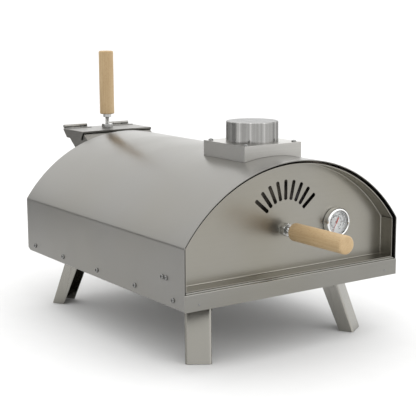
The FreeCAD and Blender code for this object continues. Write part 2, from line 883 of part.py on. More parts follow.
def make_rear_panel():
    """Arched panel that closes the back, with openings for the grate and the fuel chute."""
    body = new_body("rear_panel")
    blank = new_sketch(body, "XZ_Plane", "-panel_front")
    floor = "sheet_thick + sheet_gap"
    arch(blank, "frame_inset", floor)
    pad(body, blank, "panel_rim", backwards=True)
    hollow = new_sketch(body, "XZ_Plane", "-panel_back")
    arch(hollow, "frame_inset + sheet_thick", floor + " + sheet_thick")
    pocket(body, hollow, "panel_rim")
    openings = new_sketch(body, "XZ_Plane")
    rectangle(openings, "-(grate_half + grate_play)", "grate_half + grate_play", "deck_height",
              "grate_high + grate_play")
    rectangle(openings, "-(hopper_half - throat_lap)", "hopper_half - throat_lap",
              "throat_low - sheet_gap", "throat_high")
    for x in panel_screw_places():
        circle(openings, x, "side_screw_z", "screw_radius + screw_clearance")
    for x, z in hopper_screw_places():
        circle(openings, x, z, "screw_radius + screw_clearance")
    pocket_through(body, openings)
    place(body)
    finish(body, "rear_panel")


def make_hopper():
    """Sloping fuel chute, open at the top, with a flange around its throat."""
    body = new_body("hopper")
    profile = new_sketch(body, "YZ_Plane")
    outline(profile, [
        ("panel_back", "throat_low"),
        ("hopper_back", "hopper_top"),
        ("hopper_front", "hopper_top"),
        ("panel_back", "throat_high"),
    ])
    pad(body, profile, "hopper_width", both_ways=True)
    flange = new_sketch(body, "XZ_Plane", "-panel_back")
    rectangle(flange, "-(hopper_half + hopper_flange)", "hopper_half + hopper_flange",
              "throat_low", "throat_high")
    pad(body, flange, "sheet_thick", backwards=True)
    hollow = new_sketch(body, "YZ_Plane")
    outline(hollow, [
        ("panel_back - overcut", "throat_low + wall_step - overcut * hopper_slope"),
        ("hopper_back + overcut", "hopper_top + wall_step + overcut * hopper_slope"),
        ("hopper_front + overcut", "hopper_top - wall_step + overcut * hopper_slope"),
        ("panel_back - overcut", "throat_high - wall_step - overcut * hopper_slope"),
    ])
    pocket(body, hollow, "hopper_width - 2 * sheet_thick", both_ways=True)
    holes = new_sketch(body, "XZ_Plane")
    for x, z in hopper_screw_places():
        circle(holes, x, z, "screw_radius + screw_clearance")
    pocket_through(body, holes)
    place(body)
    finish(body, "hopper")


def make_hopper_lid():
    """Lid with a flap down each side and a small lip along its front edge."""
    body = new_body("hopper_lid")
    profile = new_sketch(body, "YZ_Plane")
    outline(profile, [
        ("lid_front", "lid_top - lid_front_lip", "lid_nose_radius", -1),
        ("lid_front + lid_nose_slant", "lid_low"),
        ("lid_back - lid_tail_slant", "lid_low"),
        ("lid_back", "lid_top - sheet_thick"),
        ("lid_back", "lid_top"),
        ("lid_front", "lid_top"),
    ])
    pad(body, profile, "2 * lid_half", both_ways=True)
    hollow = new_sketch(body, "YZ_Plane")
    rectangle(hollow, "lid_front + sheet_thick", "lid_back + overcut", "lid_low - overcut",
              "lid_top - sheet_thick")
    pocket(body, hollow, "2 * (lid_half - sheet_thick)", both_ways=True)
    hole = new_sketch(body, "XY_Plane")
    circle(hole, "0", "lid_middle", "stud_radius")
    pocket_through(body, hole)
    place(body)
    finish(body, "hopper_lid")


def make_hinges():
    """Two butt hinges along the lid's back edge: leaves on the hopper, leaves on the lid, pins."""
    fixed = []
    moving = []
    pins = []
    bore = "hinge_pin_radius + pin_clearance"
    slope = math.degrees(math.atan(value("hopper_slope")))
    outer_long = "(hinge_wide - hinge_middle) / 2 - moving_gap"
    for sign in (-1, 1):
        tag = "left" if sign < 0 else "right"
        start = "%d * hinge_x - hinge_wide / 2" % sign
        middle = "%s + (hinge_wide - hinge_middle) / 2" % start
        last = "%s + hinge_middle + moving_gap" % middle
        knuckle = rod("lid_knuckle_" + tag, "hinge_radius", "hinge_middle", middle, "hinge_y",
                      "hinge_z", "X")
        leaf = box("lid_leaf_blank_" + tag, middle, "%s + hinge_middle" % middle,
                   "hinge_y - hinge_leaf", "hinge_y", "lid_top", "lid_top + sheet_thick")
        wide_leaf = box("lid_leaf_wide_" + tag, start, "%s + hinge_wide" % start,
                        "hinge_y - hinge_leaf", "lid_back - hinge_leaf_inset", "lid_top",
                        "lid_top + sheet_thick")
        hole = rod("lid_knuckle_bore_" + tag, bore, "hinge_wide", start, "hinge_y", "hinge_z", "X")
        moving.append(cut("lid_leaf_" + tag, joined("lid_leaf_all_" + tag,
                                                    [knuckle, leaf, wide_leaf]), [hole]))
        pieces = []
        for end, x in (("a", start), ("b", last)):
            pieces.append(rod("hopper_knuckle_%s_%s" % (tag, end), "hinge_radius", outer_long, x,
                              "hinge_y", "hinge_z", "X"))
            pieces.append(sloped_strip("hopper_tab_%s_%s" % (tag, end), x, outer_long, slope,
                                       "0", "hinge_tab"))
        pieces.append(sloped_strip("hopper_leaf_blank_" + tag, start, "hinge_wide", slope,
                                   "hinge_leaf_drop", "hinge_leaf_drop + hinge_leaf"))
        hole = rod("hopper_bore_" + tag, bore, "hinge_wide + 2 * overcut",
                   "%s - overcut" % start, "hinge_y", "hinge_z", "X")
        fixed.append(cut("hopper_leaf_" + tag, joined("hopper_leaf_all_" + tag, pieces), [hole]))
        pins.append(rod("hinge_pin_" + tag, "hinge_pin_radius", "hinge_wide + 2 * moving_gap",
                        "%s - moving_gap" % start, "hinge_y", "hinge_z", "X"))
    for name, items in (("lid_hinge_leaves", moving), ("hopper_hinge_leaves", fixed),
                        ("hinge_pins", pins)):
        item = group(name, items)
        place(item)
        finish(item, name)


def sloped_strip(name, x, long, slope, near, far):
    """Part of a hinge leaf that lies against the outside of the hopper's sloping back."""
    item = doc.addObject("Part::Box", name)
    item.Placement = FreeCAD.Placement(
        FreeCAD.Vector(0, 0, 0), FreeCAD.Rotation(FreeCAD.Vector(1, 0, 0), slope))
    run = "cos(atan(hopper_slope))"
    rise = "sin(atan(hopper_slope))"
    bind(item, "Length", long)
    bind(item, "Width", "(%s) - (%s)" % (far, near))
    bind(item, "Height", "sheet_thick")
    out = "(sheet_thick + sheet_gap / 4)"
    start_y = "hopper_back + hinge_reach - (%s) * %s + %s * %s" % (far, run, out, rise)
    start_z = ("hopper_top + hinge_reach * hopper_slope - (%s) * %s - %s * %s"
               % (far, rise, out, run))
    bind(item, "Placement.Base.x", x)
    bind(item, "Placement.Base.y", start_y)
    bind(item, "Placement.Base.z", start_z)
    return item


# ---------------------------------------------------------------- chimney
def make_chimney():
    """Square base that follows the shell, the flue tube on its flange, and a lift-off cap."""
    outer = box("chimney_outer", "-chimney_half", "chimney_half", "chimney_front",
                "chimney_front + chimney_side", "side_height", "chimney_top")
    inner = box("chimney_inner", "sheet_thick - chimney_half", "chimney_half - sheet_thick",
                "chimney_front + sheet_thick", "chimney_front + chimney_side - sheet_thick",
                "side_height - overcut", "chimney_top - sheet_thick")
    saddle = rod("chimney_saddle", "arch_radius + sheet_gap / 2", "chimney_side + 2 * overcut",
                 "0", "chimney_front - overcut", "arch_centre", "Y")
    tools = [inner, saddle]
    tools.append(rod("chimney_hole", "flue_radius + sheet_gap", "4 * overcut", "0",
                     "chimney_middle", "chimney_top - 2 * overcut"))
    drills = []
    screws = []
    for i, (across, along) in enumerate(((-1, -1), (1, -1), (1, 1), (-1, 1))):
        x = "%d * chimney_screw" % across
        y = "chimney_middle + %d * chimney_screw" % along
        tools.append(screw_hole("chimney_hole_%d" % i, x, y, "chimney_top", "Z"))
        drills.append(screw_hole("flue_hole_%d" % i, x, y, "chimney_top - sheet_thick", "Z"))
        screws.append(screw("chimney_screw_%d" % i, x, y, "chimney_top", "Z"))
    base = cut("chimney_base", outer, tools)
    place(base)
    finish(base, "chimney_base")

    flange_half = "chimney_half - sheet_thick - sheet_gap"
    flange = box("flue_flange", "-(%s)" % flange_half, flange_half,
                 "chimney_middle - (%s)" % flange_half, "chimney_middle + %s" % flange_half,
                 "chimney_top - 2 * sheet_thick", "chimney_top - sheet_thick")
    tube = rod("flue_outer", "flue_radius", "flue_top - flue_bottom", "0", "chimney_middle",
               "flue_bottom")
    bore = rod("flue_bore", "flue_radius - sheet_thick", "flue_top - flue_bottom + 2 * overcut",
               "0", "chimney_middle", "flue_bottom - overcut")
    flue = cut("flue_tube", joined("flue_blank", [flange, tube]), [bore] + drills)
    place(flue)
    finish(flue, "flue_tube")

    screw_set = group("chimney_screws", screws)
    place(screw_set)
    finish(screw_set, "chimney_screws")

    cap = turned("chimney_cap", [
        ("cap_radius - sheet_thick", "0"),
        ("cap_radius", "0"),
        ("cap_radius", "cap_height - sheet_thick", "sheet_thick", 1),
        ("cap_radius - sheet_thick", "cap_height"),
        ("0", "cap_height"),
        ("0", "cap_height - sheet_thick"),
        ("cap_radius - sheet_thick", "cap_height - sheet_thick"),
    ])
    place(cap, "0", "chimney_middle", "chimney_top")


# ---------------------------------------------------------------- door
def make_door_panel():
    """Arched pan: a flat plate with a flange forward all round, and a fan of vent slots."""
    body = new_body("door_panel")
    blank = new_sketch(body, "XZ_Plane", "-door_recess")
    arch(blank, "door_margin", "door_bottom")
    pad(body, blank, "door_flange + sheet_thick", backwards=True)
    hollow = new_sketch(body, "XZ_Plane", "-(door_recess - 1)")
    arch(hollow, "door_margin + sheet_thick", "door_bottom + sheet_thick")
    pocket(body, hollow, "door_flange + 1")
    holes = new_sketch(body, "XZ_Plane")
    circle(holes, "0", "door_handle_z", "stud_radius")
    circle(holes, "dial_x", "dial_z", "stem_radius")
    pocket_through(body, holes)
    slits = new_sketch(body, "XZ_Plane", "-(door_recess - 1)")
    for sign in (-1, 1):
        side = "%d * (half_width - door_margin" % sign
        ends = [side + " - door_relief)", side + " + overcut)"]
        if sign < 0:
            ends.reverse()
        rectangle(slits, ends[0], ends[1], shoulder("door_margin") + " - relief_half",
                  shoulder("door_margin") + " + relief_half")
    pocket(body, slits, "door_flange - 1")

    slot = new_sketch(body, "XZ_Plane")
    lean = value("vent_angle / 2")
    slot.AttachmentOffset = FreeCAD.Placement(
        FreeCAD.Vector(0, value("vent_height"), 0),
        FreeCAD.Rotation(FreeCAD.Vector(0, 0, 1), lean))
    low = "vent_radius - vent_long / 2"
    high = "vent_radius + vent_long / 2"
    outline(slot, [
        ("-vent_wide / 2", low, "vent_end_round", 1),
        ("vent_wide / 2", low),
        ("vent_wide / 2", high, "vent_end_round", 1),
        ("-vent_wide / 2", high),
    ])
    cut_slot = pocket_through(body, slot)
    fan = body.newObject("PartDesign::PolarPattern", "vent_fan")
    fan.Originals = [cut_slot]
    fan.Axis = (slot, ["N_Axis"])
    fan.Reversed = True
    bind(fan, "Angle", "vent_angle")
    bind(fan, "Occurrences", "vent_count")
    body.Tip = fan
    place(body)
    finish(body, "door_panel")


def make_door_plug():
    """Shallow pan on the back of the door that fits inside the front frame."""
    body = new_body("door_plug")
    blank = new_sketch(body, "XZ_Plane", "-door_back")
    arch(blank, "plug_inset", "door_bottom + sheet_thick")
    pad(body, blank, "plug_depth", backwards=True)
    hollow = new_sketch(body, "XZ_Plane", "-(door_back - 1)")
    arch(hollow, "plug_inset + sheet_thick", "door_bottom + 2 * sheet_thick")
    pocket(body, hollow, "plug_depth + 1 - sheet_thick")
    hole = new_sketch(body, "XZ_Plane")
    circle(hole, "dial_x", "dial_z", "stem_radius + screw_clearance")
    pocket_through(body, hole)
    place(body)
    finish(body, "door_plug")


def hex_nut(name, across, thick, bore, start):
    """A hexagonal nut on the local Z axis."""
    prism = doc.addObject("Part::Prism", name + "_hex")
    prism.Polygon = 6
    bind(prism, "Circumradius", "(%s) / sqrt(3)" % across)
    bind(prism, "Height", thick)
    bind(prism, "Placement.Base.z", start)
    hole = rod(name + "_bore", bore, "(%s) + 2 * overcut" % thick, "0", "0",
               "(%s) - overcut" % start)
    return cut(name, prism, [hole])


def make_handle(part, spot, standoff="handle_standoff", long="grip_long"):
    """Turned wooden grip on a threaded stud, with a nut at each side of the sheet."""
    end = "%s + %s" % (standoff, long)
    grip = turned(part + "_grip", [
        ("stud_radius", standoff),
        ("grip_radius - grip_round", standoff, "grip_round", 1),
        ("grip_radius", standoff + " + grip_round"),
        ("grip_radius", end + " - grip_round", "grip_round", 1),
        ("grip_radius - grip_round", end),
        ("0", end),
        ("0", standoff + " + stud_in_grip"),
        ("stud_radius", standoff + " + stud_in_grip"),
    ])
    place(grip, *spot)
    stud_tail = "(sheet_thick + nut_thick + stud_show)"
    stud = rod(part + "_stud_rod", "stud_radius",
               "%s + %s + stud_in_grip" % (stud_tail, standoff), "0", "0", "-" + stud_tail)
    stud_set = group(part + "_stud", [stud])
    place(stud_set, *spot)
    finish(stud_set, part + "_stud")
    washer = cut(part + "_washer",
                 rod(part + "_washer_disc", "washer_radius", "washer_thick", "0", "0", "0"),
                 [rod(part + "_washer_bore", "stud_radius", "2 * overcut", "0", "0",
                      "-overcut / 2")])
    nuts = group(part + "_nuts", [
        washer,
        hex_nut(part + "_front_nut", "nut_across", "nut_thick", "stud_radius", "washer_thick"),
        hex_nut(part + "_back_nut", "nut_across", "nut_thick", "stud_radius",
                "-(sheet_thick + nut_thick)"),
        hex_nut(part + "_grip_nut", "nut_across", "nut_thick", "stud_radius",
                standoff + " - nut_thick"),
    ])
    place(nuts, *spot)
    finish(nuts, part + "_nuts")


def make_thermometer():
    """Dial thermometer. Its local Z axis points out of the door, from the plate's face."""
    spot = ("dial_x", "door_face", "dial_z", (1, 0, 0), "90")
    case = turned("thermometer_case", [
        ("stem_radius", "0"),
        ("case_radius", "0"),
        ("case_radius", "glass_low"),
        ("case_inside", "glass_low"),
        ("case_inside", "case_wall"),
        ("stem_radius", "case_wall"),
    ])
    place(case, *spot)
    bezel = turned("thermometer_bezel", [
        ("case_radius + press_gap", "bezel_start"),
        ("bezel_radius", "bezel_start"),
        ("bezel_radius", "bezel_deep - bezel_round", "bezel_round", 1),
        ("bezel_radius - bezel_round", "bezel_deep"),
        ("bezel_opening", "bezel_deep"),
        ("bezel_opening - bezel_chamfer", "bezel_deep - 1.5 * bezel_chamfer"),
        ("bezel_opening - bezel_chamfer", "glass_top"),
        ("case_radius + press_gap", "glass_top"),
    ])
    place(bezel, *spot)
    glass = turned("thermometer_glass", [
        ("0", "glass_low"),
        ("case_inside - press_gap", "glass_low"),
        ("case_inside - press_gap", "glass_top"),
        ("0", "glass_top"),
    ])
    place(glass, *spot)
    dial = turned("thermometer_dial", [
        ("arbor_radius + dial_hole_gap", "dial_level"),
        ("case_inside", "dial_level"),
        ("case_inside", "dial_level + dial_thick"),
        ("arbor_radius + dial_hole_gap", "dial_level + dial_thick"),
    ])
    place(dial, *spot)
    stem = turned("thermometer_stem", [
        ("0", "-stem_long"),
        ("stem_radius - stem_point", "-stem_long"),
        ("stem_radius", "stem_point - stem_long"),
        ("stem_radius", "stem_top"),
        ("arbor_radius", "stem_top"),
        ("arbor_radius", "arbor_top"),
        ("0", "arbor_top"),
    ])
    place(stem, *spot)
    make_needle(spot)
    nut = hex_nut("stem_nut", "stem_nut_across", "stem_nut_thick", "stem_radius",
                  "-(sheet_thick + stem_nut_thick)")
    nut_set = group("thermometer_nut", [nut])
    place(nut_set, *spot)
    finish(nut_set, "thermometer_nut")


def make_needle(spot):
    """Pointer: a long thin end, a short thick tail and a round hub on the arbor."""
    body = new_body("thermometer_needle")
    blade = new_sketch(body, "XY_Plane", "needle_level")
    outline(blade, [
        ("-0.35 * needle_wide", "0"),
        ("-0.5 * needle_wide", "-needle_tail"),
        ("0.5 * needle_wide", "-needle_tail"),
        ("0.35 * needle_wide", "0"),
        ("0.15 * needle_wide", "needle_long"),
        ("-0.15 * needle_wide", "needle_long"),
    ])
    pad(body, blade, "needle_thick")
    hub = new_sketch(body, "XY_Plane", "needle_level")
    circle(hub, "0", "0", "needle_wide")
    pad(body, hub, "needle_thick + hub_rise")
    bore = new_sketch(body, "XY_Plane")
    circle(bore, "0", "0", "arbor_radius + pin_clearance")
    pocket_through(body, bore)
    place(body, *spot)
    lean = FreeCAD.Rotation(FreeCAD.Vector(0, 0, 1), value("needle_lean"))
    upright = FreeCAD.Rotation(FreeCAD.Vector(1, 0, 0), 90)
    body.Placement = FreeCAD.Placement(body.Placement.Base, upright.multiply(lean))
    finish(body, "thermometer_needle")


# ---------------------------------------------------------------- legs
def leg_places():
    """Each leg's name, pivot and the direction it splays in, as an angle from +X."""
    front_y = "leg_front_inset"
    rear_y = "body_depth - leg_rear_inset"
    return [
        ("front_left", "-leg_front_x", front_y, "-90 - leg_turn"),
        ("front_right", "leg_front_x", front_y, "leg_turn - 90"),
        ("rear_left", "-leg_rear_x", rear_y, "leg_turn + 90"),
        ("rear_right", "leg_rear_x", rear_y, "90 - leg_turn"),
    ]


def leg_line(offset, along):
    """A point in the leg's side view: offset out from the pivot, then down the splay."""
    return ("(%s) * cos(leg_splay * 1deg) + (%s) * sin(leg_splay * 1deg)" % (offset, along),
            "(%s) * sin(leg_splay * 1deg) - (%s) * cos(leg_splay * 1deg)" % (offset, along))


def foot_along(offset):
    """How far down the splay a line at this offset meets the ground."""
    return "((leg_drop + (%s) * sin(leg_splay * 1deg)) / cos(leg_splay * 1deg))" % offset


def head_along(offset):
    """How far up the splay (a negative distance) the line at this offset reaches leg_head."""
    return "(((%s) * sin(leg_splay * 1deg) - leg_head) / cos(leg_splay * 1deg))" % offset


def make_leg(name, x, y, angle):
    """Channel leg with its flat web outwards and its foot cut level with the ground."""
    body = new_body("leg_" + name)
    side = new_sketch(body, "XZ_Plane")
    web = "leg_web_offset"
    head_inner = "(leg_web_offset - leg_flange_top)"
    foot_inner = "(leg_web_offset - leg_flange_foot)"
    outline(side, [
        leg_line(web, foot_along(web)),
        leg_line(web, head_along(web)),
        leg_line(head_inner, "-leg_notch"),
        leg_line(foot_inner, foot_along(foot_inner)),
    ])
    pad(body, side, "leg_width", both_ways=True)
    doc.recompute()
    base = body.Tip
    edges = []
    for number, edge in enumerate(base.Shape.Edges, 1):
        if abs(edge.CenterOfMass.y) > value("leg_half") - 0.1 and is_web_edge(edge):
            edges.append("Edge%d" % number)
    bend = body.newObject("PartDesign::Fillet", "leg_bend_" + name)
    bend.Base = (base, edges)
    bind(bend, "Radius", "2 * leg_thick")
    hollow = new_sketch(body, "XZ_Plane")
    skin = "(leg_web_offset - leg_thick)"
    far = "(leg_web_offset - 2 * leg_flange_top)"
    outline(hollow, [
        leg_line(skin, foot_along(skin) + " + leg_width"),
        leg_line(skin, head_along(skin) + " - leg_width"),
        leg_line(far, head_along(skin) + " - leg_width"),
        leg_line(far, foot_along(skin) + " + leg_width"),
    ])
    pocket(body, hollow, "leg_width - 2 * leg_thick", both_ways=True)
    hole = new_sketch(body, "XZ_Plane")
    circle(hole, "0", "0", "leg_bolt_radius + pin_clearance")
    pocket_through(body, hole)
    place(body, x, y, "leg_pivot_z", (0, 0, 1), angle)
    finish(body, "leg_" + name)


def is_web_edge(edge):
    """True for the two long edges where the leg's web turns into its flanges."""
    splay = math.radians(value("leg_splay"))
    middle = edge.CenterOfMass
    offset = middle.x * math.cos(splay) + middle.z * math.sin(splay)
    return abs(offset - value("leg_web_offset")) < 0.01 and edge.Length > value("leg_width")


def make_bracket(name, x, y, angle):
    """Folded bracket under the tray: a plate that stops the leg and two cheeks beside it."""
    plate = box("bracket_plate_" + name, "-cheek_radius - bracket_heel",
                "leg_web_offset + bracket_toe", "-cheek_outer", "cheek_outer", "bracket_drop",
                "bracket_drop + bracket_thick")
    parts = [plate]
    for sign, tag in ((-1, "a"), (1, "b")):
        ends = ["%d * cheek_inner" % sign, "%d * cheek_outer" % sign]
        if sign < 0:
            ends.reverse()
        parts.append(box("bracket_cheek_%s_%s" % (name, tag), "-cheek_radius", "cheek_radius",
                         ends[0], ends[1], "0", "bracket_drop"))
        parts.append(rod("bracket_round_%s_%s" % (name, tag), "cheek_radius", "bracket_thick",
                         "0", ends[0], "0", "Y"))
    bore = rod("bracket_bore_" + name, "leg_bolt_radius", "2 * cheek_outer + 2 * overcut", "0",
               "-cheek_outer - overcut", "0", "Y")
    bracket = cut("leg_bracket_" + name, joined("bracket_blank_" + name, parts), [bore])
    place(bracket, x, y, "leg_pivot_z", (0, 0, 1), angle)
    finish(bracket, "leg_bracket_" + name)


def make_leg_bolts():
    """The four pivot bolts with hexagonal heads, and their nuts."""
    bolts = []
    nuts = []
    for name, x, y, angle in leg_places():
        shank = rod("bolt_shank_" + name, "leg_bolt_radius",
                    "2 * cheek_outer + bolt_head + bolt_show", "0", "-cheek_outer", "0", "Y")
        head = lying_prism("bolt_head_" + name, "-cheek_outer - bolt_head")
        bolt = joined("leg_bolt_" + name, [shank, head])
        nut = cut("leg_nut_" + name, lying_prism("leg_nut_hex_" + name, "cheek_outer"),
                  [rod("leg_nut_bore_" + name, "leg_bolt_radius", "bolt_head + 2 * overcut",
                       "0", "cheek_outer - overcut", "0", "Y")])
        for item in (bolt, nut):
            item.Placement = FreeCAD.Placement(
                FreeCAD.Vector(0, 0, 0), FreeCAD.Rotation(FreeCAD.Vector(0, 0, 1), value(angle)))
            bind(item, "Placement.Base.x", x)
            bind(item, "Placement.Base.y", y)
            bind(item, "Placement.Base.z", "leg_pivot_z")
        bolts.append(bolt)
        nuts.append(nut)
    for label, items in (("leg_bolts", bolts), ("leg_nuts", nuts)):
        item = group(label, items)
        place(item)
        finish(item, label)


def lying_prism(name, start):
    """A hexagonal prism along +Y."""
    item = doc.addObject("Part::Prism", name)
    item.Polygon = 6
    item.Placement = FreeCAD.Placement(
        FreeCAD.Vector(0, 0, 0), FreeCAD.Rotation(FreeCAD.Vector(1, 0, 0), -90))
    bind(item, "Circumradius", "bolt_across / sqrt(3)")
    bind(item, "Height", "bolt_head")
    bind(item, "Placement.Base.y", start)
    return item


# ---------------------------------------------------------------- small screws
def make_screw_sets():
    """Screws along the sides, in the front frame, panel and hopper, and the fascia's rivets."""
    sets = {"shell_screws_left": [], "shell_screws_right": [], "frame_screws": []}
    for side, sign, out in (("left", -1, "-X"), ("right", 1, "X")):
        x = "%d * half_width" % sign
        for i, y in enumerate(side_screw_places()):
            sets["shell_screws_" + side].append(
                screw("shell_screw_%s_%d" % (side, i), x, y, "side_screw_z", out))
        for i, y in enumerate(frame_screw_places()):
            sets["frame_screws"].append(
                screw("frame_screw_%s_%d" % (side, i), x, y, "frame_screw_z", out))
    sets["fascia_rivets"] = [
        screw("fascia_rivet_%d" % i, x, "-sheet_thick", "rivet_z", "-Y", "rivet")
        for i, x in enumerate(rivet_places())]
    sets["panel_screws"] = [
        screw("panel_screw_%d" % i, x, "panel_back", "side_screw_z", "Y")
        for i, x in enumerate(panel_screw_places())]
    sets["hopper_screws"] = [
        screw("hopper_screw_%d" % i, x, "panel_back + sheet_thick", z, "Y")
        for i, (x, z) in enumerate(hopper_screw_places())]
    for label, items in sets.items():
        item = group(label, items)
        place(item)
        finish(item, label)


# ---------------------------------------------------------------- build, check and write
def build():
    make_outer_shell()
    make_arch_lining("inner_liner", "liner_inset", "liner_thick", "liner_front", "liner_back",
                     "deck_height", "flue_radius + 2 * sheet_gap")
    make_arch_lining("insulation_blanket", "sheet_thick + blanket_gap",
                     "liner_inset - sheet_thick - 2 * blanket_gap", "liner_front + 2",
                     "liner_back", "deck_height", "flue_radius + blanket_gap")
    make_base_tray()
    make_front_fascia()
    make_door_sill()
    make_hearth_pan()
    make_floor_insulation()
    make_front_frame()
    make_pizza_stone()
    make_flame_baffle()
    make_grate_rails()
    make_fire_basket()
    make_ash_grid()
    make_grate_plate()
    make_rear_panel()
    make_hopper()
    make_hopper_lid()
    make_hinges()
    make_chimney()
    make_door_panel()
    make_door_plug()
    make_thermometer()
    make_handle("door_handle", ("0", "door_face", "door_handle_z", (1, 0, 0), "90"))
    make_handle("lid_handle", ("0", "lid_middle", "lid_top"), "lid_standoff", "lid_grip_long")
    make_handle("grate_handle", ("0", "grate_end", "grate_handle_z", (1, 0, 0), "-90"))
    for name, x, y, angle in leg_places():
        make_leg(name, x, y, angle)
        make_bracket(name, x, y, angle)
    make_leg_bolts()
    make_screw_sets()
    doc.recompute()


def check():
    """Stop before writing anything if an object failed or a piece isn't sound."""
    for item in doc.Objects:
        if "Invalid" in item.State or "Error" in item.State:
            raise RuntimeError("%s failed: %s" % (item.Name, item.State))
    for piece in PIECES:
        shape = piece.Shape
        if shape.isNull() or not shape.isValid() or not shape.Solids:
            raise RuntimeError("%s is not a sound solid" % piece.Label)


def write():
    os.makedirs("parts", exist_ok=True)
    for piece in PIECES:
        piece.Shape.exportStep(os.path.join("parts", piece.Label + ".step"))
        box_now = piece.Shape.optimalBoundingBox()
        print("%-22s solids %2d volume %9.0f  x %7.1f %7.1f  y %7.1f %7.1f  z %6.1f %6.1f" % (
            piece.Label, len(piece.Shape.Solids), piece.Shape.Volume, box_now.XMin, box_now.XMax,
            box_now.YMin, box_now.YMax, box_now.ZMin, box_now.ZMax))


build()
check()
write()
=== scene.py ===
# %% [markdown]
# # A wood fired pizza oven
#
# The oven is folded from thin stainless steel: an arched shell on four short legs, a plug door
# with a wooden handle and a dial thermometer, a square flue base with a round cap, and a fuel
# hopper with a hinged lid at the back. The exact sizes come from the engineering model, which
# is loaded here as a fixed frame. Some of its pieces only get a finish. The pieces that show
# most are made again with rolled bends, chamfers and threads, each inside its engineering twin.

# %% Load the frame
import math

import bmesh
import bpy
from mathutils import Matrix, Vector


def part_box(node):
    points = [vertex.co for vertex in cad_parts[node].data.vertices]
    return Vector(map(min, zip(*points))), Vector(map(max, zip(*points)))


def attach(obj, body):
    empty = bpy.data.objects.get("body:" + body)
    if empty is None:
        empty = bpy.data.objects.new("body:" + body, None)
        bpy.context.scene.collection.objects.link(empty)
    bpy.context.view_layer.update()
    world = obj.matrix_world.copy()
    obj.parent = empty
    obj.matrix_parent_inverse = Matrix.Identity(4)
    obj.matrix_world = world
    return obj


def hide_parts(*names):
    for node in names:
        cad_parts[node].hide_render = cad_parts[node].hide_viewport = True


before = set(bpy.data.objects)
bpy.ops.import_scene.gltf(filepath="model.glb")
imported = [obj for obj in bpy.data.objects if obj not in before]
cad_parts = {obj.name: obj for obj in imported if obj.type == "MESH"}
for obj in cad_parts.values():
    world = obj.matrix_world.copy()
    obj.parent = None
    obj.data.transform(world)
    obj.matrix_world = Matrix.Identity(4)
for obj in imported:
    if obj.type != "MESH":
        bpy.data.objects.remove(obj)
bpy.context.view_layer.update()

MM = 0.001

# %% [markdown]
# ## Sizes that everything shares
#
# A sheet metal worker marks out from one datum, so this script does the same. The shell's box
# gives the width, the depth and the height. The height of the shoulder, where the flat side
# wall turns into the arch, is read from the shell's own corner points.

# %% Measure the shell
shell_low, shell_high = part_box("outer_shell")
half_width = shell_high.x
shoulder = max(v.co.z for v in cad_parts["outer_shell"].data.vertices
               if abs(v.co.x) > half_width - 0.02 * MM)
arch_rise = shell_high.z - shoulder
arch_radius = (half_width ** 2 + arch_rise ** 2) / (2 * arch_rise)
arch_centre = shell_high.z - arch_radius
sheet = 1.2 * MM
print("shell %.0f x %.0f mm, arch radius %.1f mm" % (
    2 * half_width / MM, (shell_high.y - shell_low.y) / MM, arch_radius / MM))

# %% [markdown]
# ## Camera
#
# The camera stands to the left of the door and a little above it, far enough back that the
# long body doesn't look stretched. A camera's turn is easiest to build from three arrows:
# where it looks, what is to its right and what is up.

# %% Camera
def put_in_scene(thing):
    """Link an object to the scene, so that it shows."""
    bpy.context.scene.collection.objects.link(thing)


camera_spot = Vector((-0.9814, -1.4572, 0.5006))
turn, tilt, roll = 0.601, -0.180, -0.004
looks = Vector((math.sin(turn) * math.cos(tilt), math.cos(turn) * math.cos(tilt), math.sin(tilt)))
right = Vector((math.cos(turn), -math.sin(turn), 0))
upward = right.cross(looks)
right, upward = (right * math.cos(roll) + upward * math.sin(roll),
                 upward * math.cos(roll) - right * math.sin(roll))
camera_data = bpy.data.cameras.new("camera")
camera_data.sensor_width = 36
camera_data.lens = 92.78
camera = bpy.data.objects.new("camera", camera_data)
camera.matrix_world = Matrix.Translation(camera_spot) @ Matrix(
    (right, upward, -looks)).transposed().to_4x4()
put_in_scene(camera)
bpy.context.scene.camera = camera
print("camera is %.2f m from the shell's front" % (camera_spot - shell_low).length)

# %% [markdown]
# ## Tools for finishes
#
# Every finish here is made of shader nodes. These helpers add a node, join two sockets and
# stretch a noise, which is how brushed metal and wood grain are both drawn: noise squeezed
# across the grain and pulled out along it.

# %% Helpers for finishes
def new_finish(name):
    """A material with its tree, its shader and the place on the piece as a texture vector."""
    material = bpy.data.materials.new(name)
    material.use_nodes = True
    tree = material.node_tree
    shader = tree.nodes["Principled BSDF"]
    place = tree.nodes.new("ShaderNodeTexCoord").outputs["Object"]
    return material, tree, shader, place


def stretched_noise(tree, place, stretch, detail=2.0, rough=0.5):
    """Noise whose size along each axis is one metre divided by the stretch."""
    mapping = tree.nodes.new("ShaderNodeMapping")
    mapping.inputs["Scale"].default_value = stretch
    tree.links.new(place, mapping.inputs["Vector"])
    noise = tree.nodes.new("ShaderNodeTexNoise")
    noise.inputs["Scale"].default_value = 1
    noise.inputs["Detail"].default_value = detail
    noise.inputs["Roughness"].default_value = rough
    tree.links.new(mapping.outputs["Vector"], noise.inputs["Vector"])
    return noise.outputs["Fac"]


def ramp(tree, source, stops):
    """A colour ramp from (position, colour) stops."""
    node = tree.nodes.new("ShaderNodeValToRGB")
    while len(node.color_ramp.elements) < len(stops):
        node.color_ramp.elements.new(0.5)
    for element, (position, colour) in zip(node.color_ramp.elements, stops):
        element.position = position
        element.color = (*colour, 1)
    tree.links.new(source, node.inputs["Fac"])
    return node.outputs["Color"]


def between(tree, source, low, high, start=0.3, stop=0.7):
    """The source, from start to stop, turned into a number from low to high."""
    node = tree.nodes.new("ShaderNodeMapRange")
    for socket, number in (("From Min", start), ("From Max", stop), ("To Min", low),
                           ("To Max", high)):
        node.inputs[socket].default_value = number
    tree.links.new(source, node.inputs["Value"])
    return node.outputs["Result"]


